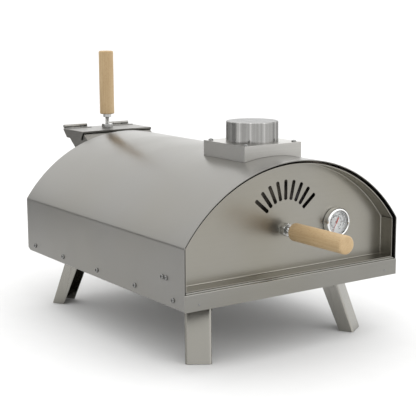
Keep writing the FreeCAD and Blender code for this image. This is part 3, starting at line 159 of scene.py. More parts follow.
def maths(tree, how, first, second):
    """One sum on two sockets or numbers."""
    node = tree.nodes.new("ShaderNodeMath")
    node.operation = how
    for socket, item in zip(node.inputs, (first, second)):
        if isinstance(item, (int, float)):
            socket.default_value = item
        else:
            tree.links.new(item, socket)
    return node.outputs["Value"]


def mixed(tree, how, amount, first, second):
    """Two colours mixed."""
    node = tree.nodes.new("ShaderNodeMix")
    node.data_type = "RGBA"
    node.blend_type = how
    for socket, item in ((node.inputs[0], amount), (node.inputs[6], first),
                         (node.inputs[7], second)):
        if isinstance(item, (int, float)):
            socket.default_value = item
        elif isinstance(item, tuple):
            socket.default_value = (*item, 1)
        else:
            tree.links.new(item, socket)
    return node.outputs[2]


def bumps(tree, shader, layers):
    """Chain (height, strength, depth) layers of bump into the shader's normal."""
    normal = None
    for height, strength, depth in layers:
        node = tree.nodes.new("ShaderNodeBump")
        node.inputs["Strength"].default_value = strength
        node.inputs["Distance"].default_value = depth
        tree.links.new(height, node.inputs["Height"])
        if normal:
            tree.links.new(normal, node.inputs["Normal"])
        normal = node.outputs["Normal"]
    tree.links.new(normal, shader.inputs["Normal"])


print("finish tools ready")

# %% [markdown]
# ## Brushed stainless steel
#
# Stainless sheet is brushed in one direction at the mill. The fine scratches scatter light
# across themselves, so the steel is a soft, smeared mirror. Long thin noise gives the
# scratches, a slow cloudy noise gives the handling marks and heat bloom, and a very slow bump
# gives the slight waviness that no thin sheet is without. The grain runs along one axis.

# %% Brushed steel
def brushed_steel(name, tint, rough, grain="y", wavy=0.0, spread=0.03, warm=0.0):
    """Satin sheet: tint is its colour, rough its (smoothest, roughest), grain its direction."""
    material, tree, shader, place = new_finish(name)
    along, across = 6.0, 1100.0
    stretch = [along if axis in grain else across for axis in "xyz"]
    scratches = stretched_noise(tree, place, stretch, detail=1.0, rough=0.5)
    clouds = stretched_noise(tree, place, (6, 6, 6), detail=2.0, rough=0.4)
    smudges = stretched_noise(tree, place, (16, 16, 16), detail=1.5, rough=0.4)
    dark = tuple(c * (1 - spread) for c in tint)
    light = tuple(min(1, c * (1 + spread)) for c in tint)
    lines = ramp(tree, scratches, [(0.30, dark), (0.70, light)])
    bloom = ramp(tree, clouds, [(0.35, (1 - warm / 2, 1 - warm * 0.8, 1 - warm * 1.7)),
                                (0.65, (1, 1, 1))])
    marks = ramp(tree, smudges, [(0.25, (0.95, 0.95, 0.945)), (0.75, (1, 1, 1))])
    colour = mixed(tree, "MULTIPLY", 1.0, lines, bloom)
    colour = mixed(tree, "MULTIPLY", 1.0, colour, marks)
    tree.links.new(colour, shader.inputs["Base Color"])
    shader.inputs["Metallic"].default_value = 1
    wear = maths(tree, "ADD", maths(tree, "MULTIPLY", scratches, 0.08),
                 maths(tree, "MULTIPLY", smudges, 0.92))
    tree.links.new(between(tree, wear, rough[0], rough[1], 0.35, 0.65), shader.inputs["Roughness"])
    layers = [(scratches, 0.002, 0.02 * MM)]
    if wavy:
        slow = stretched_noise(tree, place, (5.5, 5.5, 5.5), detail=0.0)
        layers.insert(0, (slow, 1.0, wavy * MM))
    bumps(tree, shader, layers)
    return material


print("brushed steel ready")

# %% [markdown]
# ## Turned steel
#
# The cap, the bezel and the screws are round, and a lathe or a polishing wheel leaves rings
# round their axis instead of straight scratches. So the noise is drawn against the distance
# from the axis and the height, not against the place itself. The upright side of the cap also
# gets painted reflections: broad light and dark streaks in its colour that follow the angle
# round the axis.

# %% Turned steel
def turned_steel(name, tint, rough, lines=0.12, streaks=0.0, edge_tint=1.0):
    """Bright steel turned about the piece's own Z axis, with tool rings and painted reflection
    streaks.
    """
    material, tree, shader, place = new_finish(name)
    parts = tree.nodes.new("ShaderNodeSeparateXYZ")
    tree.links.new(place, parts.inputs[0])
    radius = maths(tree, "SQRT", maths(
        tree, "ADD", maths(tree, "MULTIPLY", parts.outputs[0], parts.outputs[0]),
        maths(tree, "MULTIPLY", parts.outputs[1], parts.outputs[1])), 0)
    around = tree.nodes.new("ShaderNodeCombineXYZ")
    tree.links.new(radius, around.inputs[0])
    tree.links.new(parts.outputs[2], around.inputs[1])
    rings = stretched_noise(tree, around.outputs[0], (2200, 2200, 1), detail=3.0)
    clouds = stretched_noise(tree, place, (60, 60, 60), detail=2.0)
    dark = tuple(c * (1 - lines) for c in tint)
    colour = ramp(tree, rings, [(0.3, dark), (0.7, tint)])
    # Painted reflection: light and dark streaks in the colour, by the angle round the axis, on the
    # cap's upright side.
    if streaks:
        turn = tree.nodes.new("ShaderNodeCombineXYZ")
        angle = maths(tree, "ARCTAN2", parts.outputs[1], parts.outputs[0])
        tree.links.new(angle, turn.inputs[0])
        painted_streak_noise = stretched_noise(tree, turn.outputs[0], (4.2, 1, 1), detail=3.5, rough=0.62)
        upright = between(tree, radius, 0.0, 1.0, 0.88 * streaks, 0.97 * streaks)
        painted_reflection_bands = ramp(tree, painted_streak_noise, [(0.34, (0.50, 0.50, 0.51)), (0.46, (0.86, 0.86, 0.85)),
                                    (0.54, (1.0, 1.0, 1.0)), (0.66, (1.7, 1.7, 1.7))])
        colour = mixed(tree, "MULTIPLY", upright, colour, painted_reflection_bands)
    tree.links.new(colour, shader.inputs["Base Color"])
    shader.inputs["Metallic"].default_value = 1
    tree.links.new(between(tree, clouds, rough[0], rough[1], 0.35, 0.65),
                   shader.inputs["Roughness"])
    bumps(tree, shader, [(rings, 0.10, 0.02 * MM)])
    shader.inputs["Specular Tint"].default_value = (edge_tint, edge_tint, edge_tint, 1)
    return material


print("turned steel ready")

# %% [markdown]
# ## The steels of this oven
#
# Every sheet here is the same kind of steel, but each was brushed, handled and warmed in its
# own way. So each gets its own tint and its own range of roughness. Each tint also holds
# painted light and shade: it was set so that its part comes out as bright as it looks in this
# room, which is why the flue steel is so much lighter than the shell. The ranges are narrow,
# because a wide one looks like dirt.

# %% Steels
cap_radius = (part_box("chimney_cap")[1].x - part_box("chimney_cap")[0].x) / 2
shell_steel = brushed_steel("shell_steel", (0.234, 0.229, 0.2175), (0.285, 0.34), grain="xz",
                            wavy=0.30, spread=0.008, warm=0.03)
door_steel = brushed_steel("door_steel", (0.290, 0.279, 0.250), (0.285, 0.34), grain="x",
                           wavy=0.10, spread=0.012, warm=0.05)
fascia_steel = brushed_steel("fascia_steel", (0.245, 0.240, 0.223), (0.18, 0.265), grain="x",
                             spread=0.03, warm=0.05)
# Much lighter than the shell: part of this tint is painted light, so the flue's faces come out as
# bright as they look in this room.
flue_steel = brushed_steel("flue_steel", (0.425, 0.417, 0.40), (0.285, 0.33), grain="x",
                           spread=0.03, warm=0.02)
pan_steel = brushed_steel("pan_steel", (0.185, 0.180, 0.168), (0.285, 0.34), grain="y",
                          spread=0.04, warm=0.03)
leg_steel = brushed_steel("leg_steel", (0.30, 0.293, 0.271), (0.17, 0.265), grain="z",
                          spread=0.04, warm=0.03)
hinge_steel = brushed_steel("hinge_steel", (0.28, 0.274, 0.26), (0.19, 0.265), grain="x",
                            spread=0.06)
# The cap's colour carries painted reflection streaks on its upright side.
cap_steel = turned_steel("cap_steel", (0.36, 0.356, 0.347), (0.14, 0.20), lines=0.06,
                         streaks=cap_radius, edge_tint=0.5)
chrome = turned_steel("chrome", (0.78, 0.78, 0.77), (0.04, 0.10), lines=0.05)
zinc = turned_steel("zinc", (0.50, 0.50, 0.49), (0.18, 0.265), lines=0.10)
screw_steel = turned_steel("screw_steel", (0.24, 0.24, 0.235), (0.18, 0.265), lines=0.10)
print("steel finishes ready")

# %% [markdown]
# ## Steel that has seen fire
#
# Inside, the same steel turns straw, brown and blue from the heat, and soot settles on it. A
# cloudy noise moves between those tints, and a second, coarser one lays the soot down in
# patches, which are also rougher.

# %% Fired steel
def fired_steel(name, soot):
    """Heat tinted steel under a coat of soot, from 0 (clean) to 1 (black)."""
    material, tree, shader, place = new_finish(name)
    tint = ramp(tree, stretched_noise(tree, place, (14, 14, 14), detail=3.0), [
        (0.30, (0.34, 0.30, 0.25)), (0.48, (0.42, 0.36, 0.27)), (0.60, (0.30, 0.25, 0.24)),
        (0.75, (0.25, 0.27, 0.31))])
    patches = stretched_noise(tree, place, (26, 26, 26), detail=5.0, rough=0.6)
    cover = between(tree, patches, soot - 0.15, min(1, soot + 0.15), 0.4, 0.6)
    colour = mixed(tree, "MIX", cover, tint, (0.018, 0.017, 0.016))
    tree.links.new(colour, shader.inputs["Base Color"])
    tree.links.new(between(tree, patches, 0.35, 0.75), shader.inputs["Roughness"])
    shader.inputs["Metallic"].default_value = 0.7
    grit = stretched_noise(tree, place, (900, 900, 900), detail=2.0)
    bumps(tree, shader, [(grit, 0.25, 0.05 * MM)])
    return material


liner_steel = fired_steel("liner_steel", 0.45)
sooty_steel = fired_steel("sooty_steel", 0.93)
print("fired finishes:", liner_steel.name, sooty_steel.name)

# %% [markdown]
# ## Beech
#
# The grips are turned beech. Beech is pale tan with hardly any figure, but its side shows
# thousands of short brown flecks along the grain, and its ends show faint rings and rays. The
# grain runs along each grip's own Z axis, so one finish serves all three. The rings are a sine
# of the distance from a heart that lies outside the grip, because a grip is cut from one side
# of a log.

# %% Beech
def beech(name):
    """Pale turned wood with flecks along its own Z axis and rings on its ends."""
    material, tree, shader, place = new_finish(name)
    heart = tree.nodes.new("ShaderNodeMapping")
    heart.inputs["Location"].default_value = (0.030, 0.012, 0)
    heart.inputs["Scale"].default_value = (1, 1, 0)
    tree.links.new(place, heart.inputs["Vector"])
    length = tree.nodes.new("ShaderNodeVectorMath")
    length.operation = "LENGTH"
    tree.links.new(heart.outputs["Vector"], length.inputs[0])
    drift = stretched_noise(tree, place, (90, 90, 9), detail=2.0)
    distance = maths(tree, "ADD", length.outputs["Value"], maths(tree, "MULTIPLY", drift, 0.0035))
    rings = maths(tree, "SINE", maths(tree, "MULTIPLY", distance, 2600.0), 0)
    flecks = stretched_noise(tree, place, (1500, 1500, 230), detail=1.0)
    fibres = stretched_noise(tree, place, (900, 900, 22), detail=3.0, rough=0.6)
    tone = stretched_noise(tree, place, (40, 40, 10), detail=2.0)
    colour = ramp(tree, tone, [(0.3, (0.435, 0.312, 0.172)), (0.7, (0.525, 0.395, 0.235))])
    ringed = ramp(tree, between(tree, rings, 0.0, 1.0, -1.0, 1.0), [
        (0.0, (0.90, 0.86, 0.80)), (0.6, (1, 1, 1))])
    colour = mixed(tree, "MULTIPLY", 0.5, colour, ringed)
    fibred = ramp(tree, fibres, [(0.30, (0.88, 0.83, 0.76)), (0.62, (1, 1, 1))])
    colour = mixed(tree, "MULTIPLY", 0.8, colour, fibred)
    fleck_mask = ramp(tree, flecks, [(0.60, (1, 1, 1)), (0.70, (0.66, 0.52, 0.38))])
    colour = mixed(tree, "MULTIPLY", 0.55, colour, fleck_mask)
    tree.links.new(colour, shader.inputs["Base Color"])
    tree.links.new(between(tree, fibres, 0.42, 0.62), shader.inputs["Roughness"])
    shader.inputs["Specular IOR Level"].default_value = 0.35
    bumps(tree, shader, [(fibres, 0.25, 0.06 * MM), (flecks, 0.12, 0.05 * MM)])
    return material


wood = beech("beech_wood")
print("the wood is made of", len(wood.node_tree.nodes), "nodes")

# %% [markdown]
# ## Stone and fibre
#
# The hearth stone is pressed and fired, so it is dusty, pale and full of small pits. A cell
# texture makes the pits, because each cell has one low point. The insulation is a matted fibre
# blanket, so its noise is stretched along the strands.

# %% Stone and fibre
def fired_stone(name):
    """Pale fired stone with pits that are darker towards their bottoms, and a toasted bloom."""
    material, tree, shader, place = new_finish(name)
    cells = tree.nodes.new("ShaderNodeTexVoronoi")
    cells.inputs["Scale"].default_value = 420
    tree.links.new(place, cells.inputs["Vector"])
    pits = between(tree, cells.outputs["Distance"], 0.0, 1.0, 0.05, 0.35)
    tone = stretched_noise(tree, place, (12, 12, 12), detail=5.0, rough=0.6)
    colour = ramp(tree, tone, [(0.3, (0.52, 0.43, 0.32)), (0.7, (0.70, 0.62, 0.50))])
    colour = mixed(tree, "MULTIPLY", 0.5, colour, ramp(
        tree, pits, [(0.0, (0.55, 0.50, 0.44)), (0.5, (1, 1, 1))]))
    tree.links.new(colour, shader.inputs["Base Color"])
    tree.links.new(between(tree, tone, 0.8, 0.95), shader.inputs["Roughness"])
    bumps(tree, shader, [(pits, 0.5, 0.2 * MM), (tone, 0.4, 0.5 * MM)])
    return material


def fibre_blanket(name):
    """White matted ceramic fibre."""
    material, tree, shader, place = new_finish(name)
    strands = stretched_noise(tree, place, (700, 260, 700), detail=6.0, rough=0.7)
    tree.links.new(ramp(tree, strands, [(0.3, (0.62, 0.60, 0.56)), (0.7, (0.88, 0.87, 0.84))]),
                   shader.inputs["Base Color"])
    tree.links.new(between(tree, strands, 0.85, 1.0), shader.inputs["Roughness"])
    bumps(tree, shader, [(strands, 0.8, 0.6 * MM)])
    return material


stone = fired_stone("hearth_stone")
blanket = fibre_blanket("ceramic_fibre")
print("stone and fibre ready")

# %% [markdown]
# ## Paint, print and glass
#
# The dial is a printed white disc under flat glass, and the pointer is painted red. Paint and
# print need only two close tones and a fine orange peel. The glass is clear, and a few smears
# in its gloss keep it from looking like nothing at all.

# %% Paint, print and glass
def printed(name, low, high, rough):
    """Paint or print: two close tones, with a fine orange-peel surface."""
    material, tree, shader, place = new_finish(name)
    tone = stretched_noise(tree, place, (300, 300, 300), detail=3.0)
    tree.links.new(ramp(tree, tone, [(0.3, low), (0.7, high)]), shader.inputs["Base Color"])
    tree.links.new(between(tree, tone, rough, rough + 0.12), shader.inputs["Roughness"])
    bumps(tree, shader, [(tone, 0.08, 0.02 * MM)])
    return material


def flat_glass(name):
    """Thin clear glass with a few faint smears in its gloss."""
    material, tree, shader, place = new_finish(name)
    smears = stretched_noise(tree, place, (70, 160, 70), detail=3.0)
    shader.inputs["Base Color"].default_value = (1, 1, 1, 1)
    shader.inputs["Transmission Weight"].default_value = 1
    shader.inputs["IOR"].default_value = 1.45
    tree.links.new(between(tree, smears, 0.0, 0.05), shader.inputs["Roughness"])
    return material


dial_white = printed("dial_white", (0.74, 0.76, 0.76), (0.82, 0.83, 0.83), 0.35)
dial_ink = printed("dial_ink", (0.02, 0.02, 0.025), (0.05, 0.05, 0.055), 0.45)
red_paint = printed("needle_red", (0.52, 0.05, 0.03), (0.66, 0.09, 0.05), 0.30)
glass = flat_glass("dial_glass")
print("materials, with those of the frame:", len(bpy.data.materials))

# %% [markdown]
# ## From a mesh to a piece
#
# Whatever way a shape is made, the same things happen to it next. It gets a finish, softened
# edges, the body it rides on, and the engineering piece that it stands for. One helper does
# all of it, so no piece can be forgotten. The soft edges are a bevel that is only a fraction of
# a millimetre wide: real sheet is deburred, and a hard edge would catch no light.

# %% Helpers for pieces
def add_piece(name, mesh, finish, body, nodes, at=None, edge=0.25, angle=40):
    """A finished piece: softened edges, a finish, the body it rides on and what it replaces."""
    if isinstance(mesh, bmesh.types.BMesh):
        built = bpy.data.meshes.new(name)
        bmesh.ops.recalc_face_normals(mesh, faces=mesh.faces)
        mesh.to_mesh(built)
        mesh.free()
        mesh = built
    mesh.materials.clear()
    mesh.materials.append(finish)
    mesh.shade_smooth()
    mesh.set_sharp_from_angle(angle=math.radians(angle))
    piece = bpy.data.objects.new(name, mesh)
    put_in_scene(piece)
    if at is not None:
        piece.matrix_world = at
    if edge:
        soften(piece, edge, angle)
    if nodes:
        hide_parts(*nodes)
    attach(piece, body)
    return piece


def soften(piece, edge, angle=40):
    """Round every sharp edge a little, as a deburred edge is, and keep the flats flat."""
    bevel = piece.modifiers.new("eased_edges", "BEVEL")
    bevel.width = edge * MM
    bevel.segments = 2
    bevel.limit_method = "ANGLE"
    bevel.angle_limit = math.radians(angle)
    flats = piece.modifiers.new("flat_faces", "WEIGHTED_NORMAL")
    flats.keep_sharp = True


print("piece tools ready")

# %% [markdown]
# ## Bent sheet
#
# Most of this oven is bent sheet. It is drawn as a line with eased corners, given a thickness to
# one side, and pulled out along an axis. A flat plane with a solidify modifier would be
# quicker, but drawn this way, each bend is as tight as it should be, and it is always clear
# which face of the sheet is the outside.

# %% Helpers for bent sheet
def bow(start, middle, end, steps):
    """Points on a smooth bow from start to end that leans towards a middle point."""
    points = []
    for k in range(steps + 1):
        t = k / steps
        points.append(start * (1 - t) ** 2 + middle * 2 * t * (1 - t) + end * t ** 2)
    return points


def eased(corners, radius, steps=5):
    """A line through the corners, each turned with a small bend, as a press brake leaves it."""
    line = [Vector(corners[0])]
    for before, corner, after in zip(corners, corners[1:], corners[2:]):
        corner = Vector(corner)
        back = (Vector(before) - corner)
        ahead = (Vector(after) - corner)
        reach = min(radius, back.length * 0.45, ahead.length * 0.45)
        start = corner + back.normalized() * reach
        end = corner + ahead.normalized() * reach
        line += bow(start, corner, end, steps)
    line.append(Vector(corners[-1]))
    return line


def offset_line(line, thick):
    """The same line moved sideways by the sheet's thickness (left of its direction)."""
    moved = []
    for i, point in enumerate(line):
        back = (point - line[max(i - 1, 0)])
        ahead = (line[min(i + 1, len(line) - 1)] - point)
        back = back.normalized() if back.length else ahead.normalized()
        ahead = ahead.normalized() if ahead.length else back
        normal = Vector((-back.y - ahead.y, back.x + ahead.x)).normalized()
        share = normal.dot(Vector((-ahead.y, ahead.x)))
        moved.append(point + normal * thick / max(share, 0.5))
    return moved


def lift(axis, across, up, along):
    """A point from a drawing in the plane across an axis, and a distance along that axis."""
    return {"x": (along, across, up), "y": (across, along, up), "z": (across, up, along)}[axis]


def folded(line, thick, start, end, axis):
    """Sheet that follows a line in the plane across an axis, from start to end along it."""
    bm = bmesh.new()
    outer = line
    inner = offset_line(line, thick)
    rows = []
    for along in (start, end):
        rows.append(([bm.verts.new(lift(axis, p.x, p.y, along)) for p in outer],
                     [bm.verts.new(lift(axis, p.x, p.y, along)) for p in inner]))
    (o0, i0), (o1, i1) = rows
    for k in range(len(line) - 1):
        bm.faces.new((o0[k], o0[k + 1], o1[k + 1], o1[k]))
        bm.faces.new((i0[k + 1], i0[k], i1[k], i1[k + 1]))
        bm.faces.new((o0[k + 1], o0[k], i0[k], i0[k + 1]))
        bm.faces.new((o1[k], o1[k + 1], i1[k + 1], i1[k]))
    for k in (0, -1):
        bm.faces.new((o0[k], o1[k], i1[k], i0[k]))
    return bm


print("sheet is %.1f mm thick" % (sheet / MM))

# %% [markdown]
# ## Turned shapes
#
# The rest is round about an axis: the cap, the grips, the screws and the bezel. A profile of
# radius and height is spun about Z, as a lathe would. Circles and arcs are drawn as plain points,
# so a profile can be put together from straight runs and rounded corners.

# %% Helpers for turned shapes
def spun(profile, segments=64):
    """A shape turned about Z from (radius, height) points. Points at radius 0 close it."""
    bm = bmesh.new()
    rings = []
    for radius, height in profile:
        if radius < 1e-7:
            rings.append([bm.verts.new((0, 0, height))])
        else:
            rings.append([bm.verts.new((radius * math.cos(2 * math.pi * k / segments),
                                        radius * math.sin(2 * math.pi * k / segments), height))
                          for k in range(segments)])
    closed = len(rings[0]) > 1
    pairs = list(zip(rings, rings[1:] + rings[:1])) if closed else list(zip(rings, rings[1:]))
    for lower, upper in pairs:
        for k in range(segments):
            corners = [lower[k % len(lower)], lower[(k + 1) % len(lower)],
                       upper[(k + 1) % len(upper)], upper[k % len(upper)]]
            unique = [v for i, v in enumerate(corners) if v not in corners[:i]]
            if len(unique) > 2:
                bm.faces.new(unique)
    return bm


def rounded(profile, radius, steps=4):
    """A profile with its inner corners eased."""
    return [(p.x, p.y) for p in eased(profile, radius, steps)]


def circle_points(u, v, radius, count=48):
    """Points round a circle in a drawing."""
    return [(u + radius * math.cos(2 * math.pi * k / count),
             v + radius * math.sin(2 * math.pi * k / count)) for k in range(count)]


def arc(u, v, radius, first, last, steps):
    """Points along an arc in a drawing, from a first to a last angle in quarter turns."""
    angles = [math.pi / 2 * (first + (last - first) * k / steps) for k in range(steps + 1)]
    return [(u + radius * math.cos(a), v + radius * math.sin(a)) for a in angles]


def bridge(bm, first, second):
    """A band of four-sided faces between two rings of points."""
    count = len(first)
    for k in range(count):
        bm.faces.new((first[k], first[(k + 1) % count], second[(k + 1) % count], second[k]))


print("a full circle is drawn with", len(circle_points(0, 0, 1)), "points")

# %% [markdown]
# ## Cutting
#
# Holes and trimmed corners are cut by boolean, as a punch cuts them: a solid tool goes through
# the blank, and its shape is taken away. The exact solver is slower than the fast one, but it
# copes with faces that lie in one plane, and sheet metal is full of those.

# %% Helpers for cutting
def prism(outline, start, end, axis):
    """A solid with a flat outline in the plane across an axis."""
    bm = bmesh.new()
    low = [bm.verts.new(lift(axis, u, v, start)) for u, v in outline]
    high = [bm.verts.new(lift(axis, u, v, end)) for u, v in outline]
    bm.faces.new(low)
    bm.faces.new(high[::-1])
    for k in range(len(low)):
        bm.faces.new((low[k], low[k - 1], high[k - 1], high[k]))
    bmesh.ops.recalc_face_normals(bm, faces=bm.faces)
    return bm


def as_object(bm, name):
    """A loose object for the cutting step."""
    if isinstance(bm, bmesh.types.BMesh):
        mesh = bpy.data.meshes.new(name)
        bmesh.ops.recalc_face_normals(bm, faces=bm.faces)
        bm.to_mesh(mesh)
        bm.free()
    else:
        mesh = bm
    made = bpy.data.objects.new(name, mesh)
    put_in_scene(made)
    return made


def carved(blank, tools, how="DIFFERENCE"):
    """The blank's mesh with each tool cut away, or added for a union."""
    work = as_object(blank, "blank")
    cutters = []
    for tool in tools:
        cutter = as_object(tool, "cutter")
        cutters.append(cutter)
        step = work.modifiers.new("cut", "BOOLEAN")
        step.operation = how
        step.solver = "EXACT"
        step.object = cutter
    bpy.context.view_layer.update()
    seen = work.evaluated_get(bpy.context.evaluated_depsgraph_get())
    mesh = bpy.data.meshes.new_from_object(seen)
    for item in [work] + cutters:
        bpy.data.objects.remove(item)
    return mesh


print("cutting tools ready")

# %% [markdown]
# ## Places
#
# Many small parts repeat: screws, nuts and washers. One is made pointing up, and a matrix puts a
# copy at each place. The places come from the engineering model, where all the screws of one
# kind are one mesh, so its separate islands are found by walking from corner to corner.

# %% Helpers for places
def main_axis(direction):
    """0, 1 or 2: the axis that a direction mostly follows."""
    return max(range(3), key=lambda i: abs(direction[i]))


def facing(origin, direction):
    """Where a piece made along Z goes when it points along a direction from an origin."""
    turn_to = Vector((0, 0, 1)).rotation_difference(Vector(direction)).to_matrix().to_4x4()
    return Matrix.Translation(Vector(origin)) @ turn_to


def copies(bm, places):
    """One mesh with a copy of the shape at each place."""
    pattern = bpy.data.meshes.new("pattern")
    bmesh.ops.recalc_face_normals(bm, faces=bm.faces)
    bm.to_mesh(pattern)
    bm.free()
    made = bmesh.new()
    for place_at in places:
        start = len(made.verts)
        made.from_mesh(pattern)
        made.verts.ensure_lookup_table()
        bmesh.ops.transform(made, matrix=place_at, verts=made.verts[start:])
    bpy.data.meshes.remove(pattern)
    return made


def gather(target, shape, place_at):
    """Add one placed shape to a mesh that is being gathered."""
    placed = copies(shape, [place_at])
    held = bpy.data.meshes.new("held")
    placed.to_mesh(held)
    placed.free()
    target.from_mesh(held)
    bpy.data.meshes.remove(held)


def islands(node):
    """The box of each separate solid in an engineering node."""
    bm = bmesh.new()
    bm.from_mesh(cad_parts[node].data)
    bmesh.ops.remove_doubles(bm, verts=bm.verts, dist=1e-6)
    left = set(bm.verts)
    boxes = []
    while left:
        queue = [left.pop()]
        group = list(queue)
        while queue:
            for edge in queue.pop().link_edges:
                for vertex in edge.verts:
                    if vertex in left:
                        left.remove(vertex)
                        queue.append(vertex)
                        group.append(vertex)
        low = Vector([min(v.co[i] for v in group) for i in range(3)])
        high = Vector([max(v.co[i] for v in group) for i in range(3)])
        boxes.append((low, high))
    bm.free()
    return sorted(boxes, key=lambda b: tuple(round(c, 4) for c in b[0] + b[1]))


print("left side screws to copy:", len(islands("shell_screws_left")))

# %% [markdown]
# ## Outer shell
#
# One sheet is folded up at each side and rolled over the top. The fold at the shoulder is
# crisp, with only a couple of millimetres of bend, and the bottom edge is turned in as a
# narrow lip. It could be a cylinder cut in half, but then the folds would have no thickness
# and no bend, so the section is drawn as one line and the sheet is folded along it. The arch
# is a helper of its own, because the door needs the same arch, drawn in a little.

# %% The arch, which many pieces repeat
def arch_line(inset, floor, steps=72):
    """Up the left wall, over the arch and down the right wall, drawn in by an inset."""
    side = half_width - inset
    radius = arch_radius - inset
    lean = math.asin(side / radius)
    points = [(-side, floor)]
    for k in range(steps + 1):
        angle = lean * (2 * k / steps - 1)
        points.append((radius * math.sin(angle), arch_centre + radius * math.cos(angle)))
    points.append((side, floor))
    return points


print("the arch turns through %.0f degrees" % (2 * math.degrees(math.asin(
    half_width / arch_radius))))

# %% [markdown]
# ## The shell's sheet
#
# The line runs up from a lip at the foot of one wall, over the arch and down to the other lip.
# A workshop cuts the flat blank first and folds it after. Here it is easier to fold first,
# because then the round hole under the flue and the small notch at each rear foot can be cut
# where they end up, with nothing to unroll.

# %% Outer shell
lip, shell_bend = 12 * MM, 2.0 * MM
flue_hole_radius = 36.6 * MM
notch_long, notch_tall = 9 * MM, 5 * MM
wall = [(-half_width + lip, shell_low.z)] + arch_line(0, shell_low.z)
wall = wall + [(half_width - lip, shell_low.z)]
shell_line = eased(wall, shell_bend, 4)
cap_low, cap_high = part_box("chimney_cap")
flue_y = (cap_low.y + cap_high.y) / 2
flue_hole = prism(circle_points(0, flue_y, flue_hole_radius), arch_centre,
                  shell_high.z + lip, "z")
rear, foot = shell_high.y, shell_low.z
notch = prism([(rear + notch_tall, foot - notch_tall), (rear + notch_tall, foot + notch_tall),
               (rear, foot + notch_tall), (rear - notch_long, foot),
               (rear - notch_long, foot - notch_tall)],
              -half_width - lip, half_width + lip, "x")
shell_mesh = carved(folded(shell_line, -sheet, shell_low.y, shell_high.y, "y"),
                    [flue_hole, notch])
add_piece("shell_skin", shell_mesh, shell_steel, "oven_body", ["outer_shell"],
          edge=0.2, angle=50)
print("shell faces:", len(shell_mesh.polygons))

# %% [markdown]
# ## Front fascia
#
# The strip under the door is folded back along its top edge, so that edge catches the light as
# a soft bright line. It is drawn as one folded line again, this time along the oven's width.

# %% Front fascia
fascia_low, fascia_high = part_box("front_fascia")
fascia_bend, fold_back, shelf_clear = 1.8 * MM, 4 * MM, 1.5 * MM
end_clear, end_cut, end_down, end_over = 1.3 * MM, 9 * MM, 30 * MM, 3 * MM
front, top = fascia_low.y, fascia_high.z
fascia_line = eased([(front, fascia_low.z), (front, top), (front + fold_back, top)], fascia_bend)
fascia_face = folded(fascia_line, -sheet, fascia_low.x, fascia_high.x, "x")
shelf = [(front + fold_back, top - sheet), (fascia_high.y, top - sheet), (fascia_high.y, top),
         (front + fold_back, top)]
fascia_mesh = carved(fascia_face, [prism(
    shelf, -half_width + shelf_clear, half_width - shelf_clear, "x")], "UNION")
end = half_width - end_clear
end_cuts = [prism([(shell_low.y, top - end_down), (shell_low.y + end_cut, top - end_down),
                   (shell_low.y + end_cut, top + end_over), (shell_low.y, top + end_over)],
                  side * end, side * (end + end_cut), "x") for side in (-1, 1)]
fascia_mesh = carved(fascia_mesh, end_cuts)
print("fascia faces:", len(fascia_mesh.polygons))
add_piece("fascia_strip", fascia_mesh, fascia_steel, "oven_body", ["front_fascia"],
          edge=0.15, angle=50)

# %% [markdown]
# ## Door
#
# The door is a shallow pan: a flat arched plate with a flange folded forward all round. The
# flange has a relief slit at each shoulder, where the folder had to stop. A fan of round-ended
# slots lets air in. The pan is drawn as a stack of arch outlines, from the front edge of the
# flange, round the bend and in over the plate, and the slots are cut out of it.

# %% Door panel
door_low, door_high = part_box("door_panel")
door_inset = half_width - door_high.x
door_floor = door_low.z


def pan_loops(rows, steps=72):
    """Arch outlines as (inset, distance back) rows; the floor rises with the inset."""
    loops = []
    for inset, back in rows:
        line = arch_line(door_inset + inset, door_floor + inset, steps)
        loops.append([Vector((x, back, z)) for x, z in line])
    return loops


def skinned(loops):
    """A closed pan: walls between neighbouring outlines, and a plate inside each end."""
    bm = bmesh.new()
    rings = [[bm.verts.new(p) for p in loop] for loop in loops]
    for first, second in zip(rings, rings[1:]):
        bridge(bm, first, second)
    bm.faces.new(rings[0][::-1])
    bm.faces.new(rings[-1])
    return bm


bend, bend_steps = 1.6 * MM, 5
outer_bend = bend + sheet
bend_centre = (outer_bend, door_high.y - outer_bend)
outside = [(0, door_low.y)] + arc(*bend_centre, outer_bend, 2, 1, bend_steps)
inside = arc(*bend_centre, bend, 2, 1, bend_steps)
pan_rows = outside[::-1] + [(sheet, door_low.y)] + inside
door_blank = skinned(pan_loops(pan_rows))
plate_y = door_high.y - sheet
cutters = []
vent_count, vent_fan, vent_steps, vent_flatness = 9, 50, 8, 0.75
vent_centre = shell_low.z + 92 * MM
vent_radius, vent_long, vent_wide = 58 * MM, 26 * MM, 6 * MM
cut_deep = 5 * MM
for k in range(vent_count):
    lean = math.radians(vent_fan * (1 - 2 * k / (vent_count - 1)))
    slot_line = []
    for end, start_angle in ((vent_long / 2, 0), (-vent_long / 2, math.pi)):
        for step in range(vent_steps + 1):
            angle = start_angle + math.pi * step / vent_steps
            slot_line.append((vent_wide / 2 * math.cos(angle), end + vent_radius
                              + vent_flatness * vent_wide / 2 * math.sin(angle)))
    turned_slot = [(-v * math.sin(lean) + u * math.cos(lean),
                    v * math.cos(lean) + u * math.sin(lean) + vent_centre) for u, v in slot_line]
    cutters.append(prism(turned_slot, plate_y - cut_deep, plate_y + cut_deep, "y"))
slit_reach, slit_half, slit_from_plate = 4 * MM, 0.6 * MM, 2 * MM
slit_z = arch_centre + math.sqrt((arch_radius - door_inset) ** 2 - (half_width - door_inset) ** 2)
for side in (-1, 1):
    far, near = side * (door_high.x + sheet), side * (door_high.x - slit_reach)
    cutters.append(prism([(far, slit_z - slit_half), (near, slit_z - slit_half),
                          (near, slit_z + slit_half), (far, slit_z + slit_half)],
                         door_low.y - sheet, plate_y - slit_from_plate, "y"))
door_mesh = carved(door_blank, cutters)
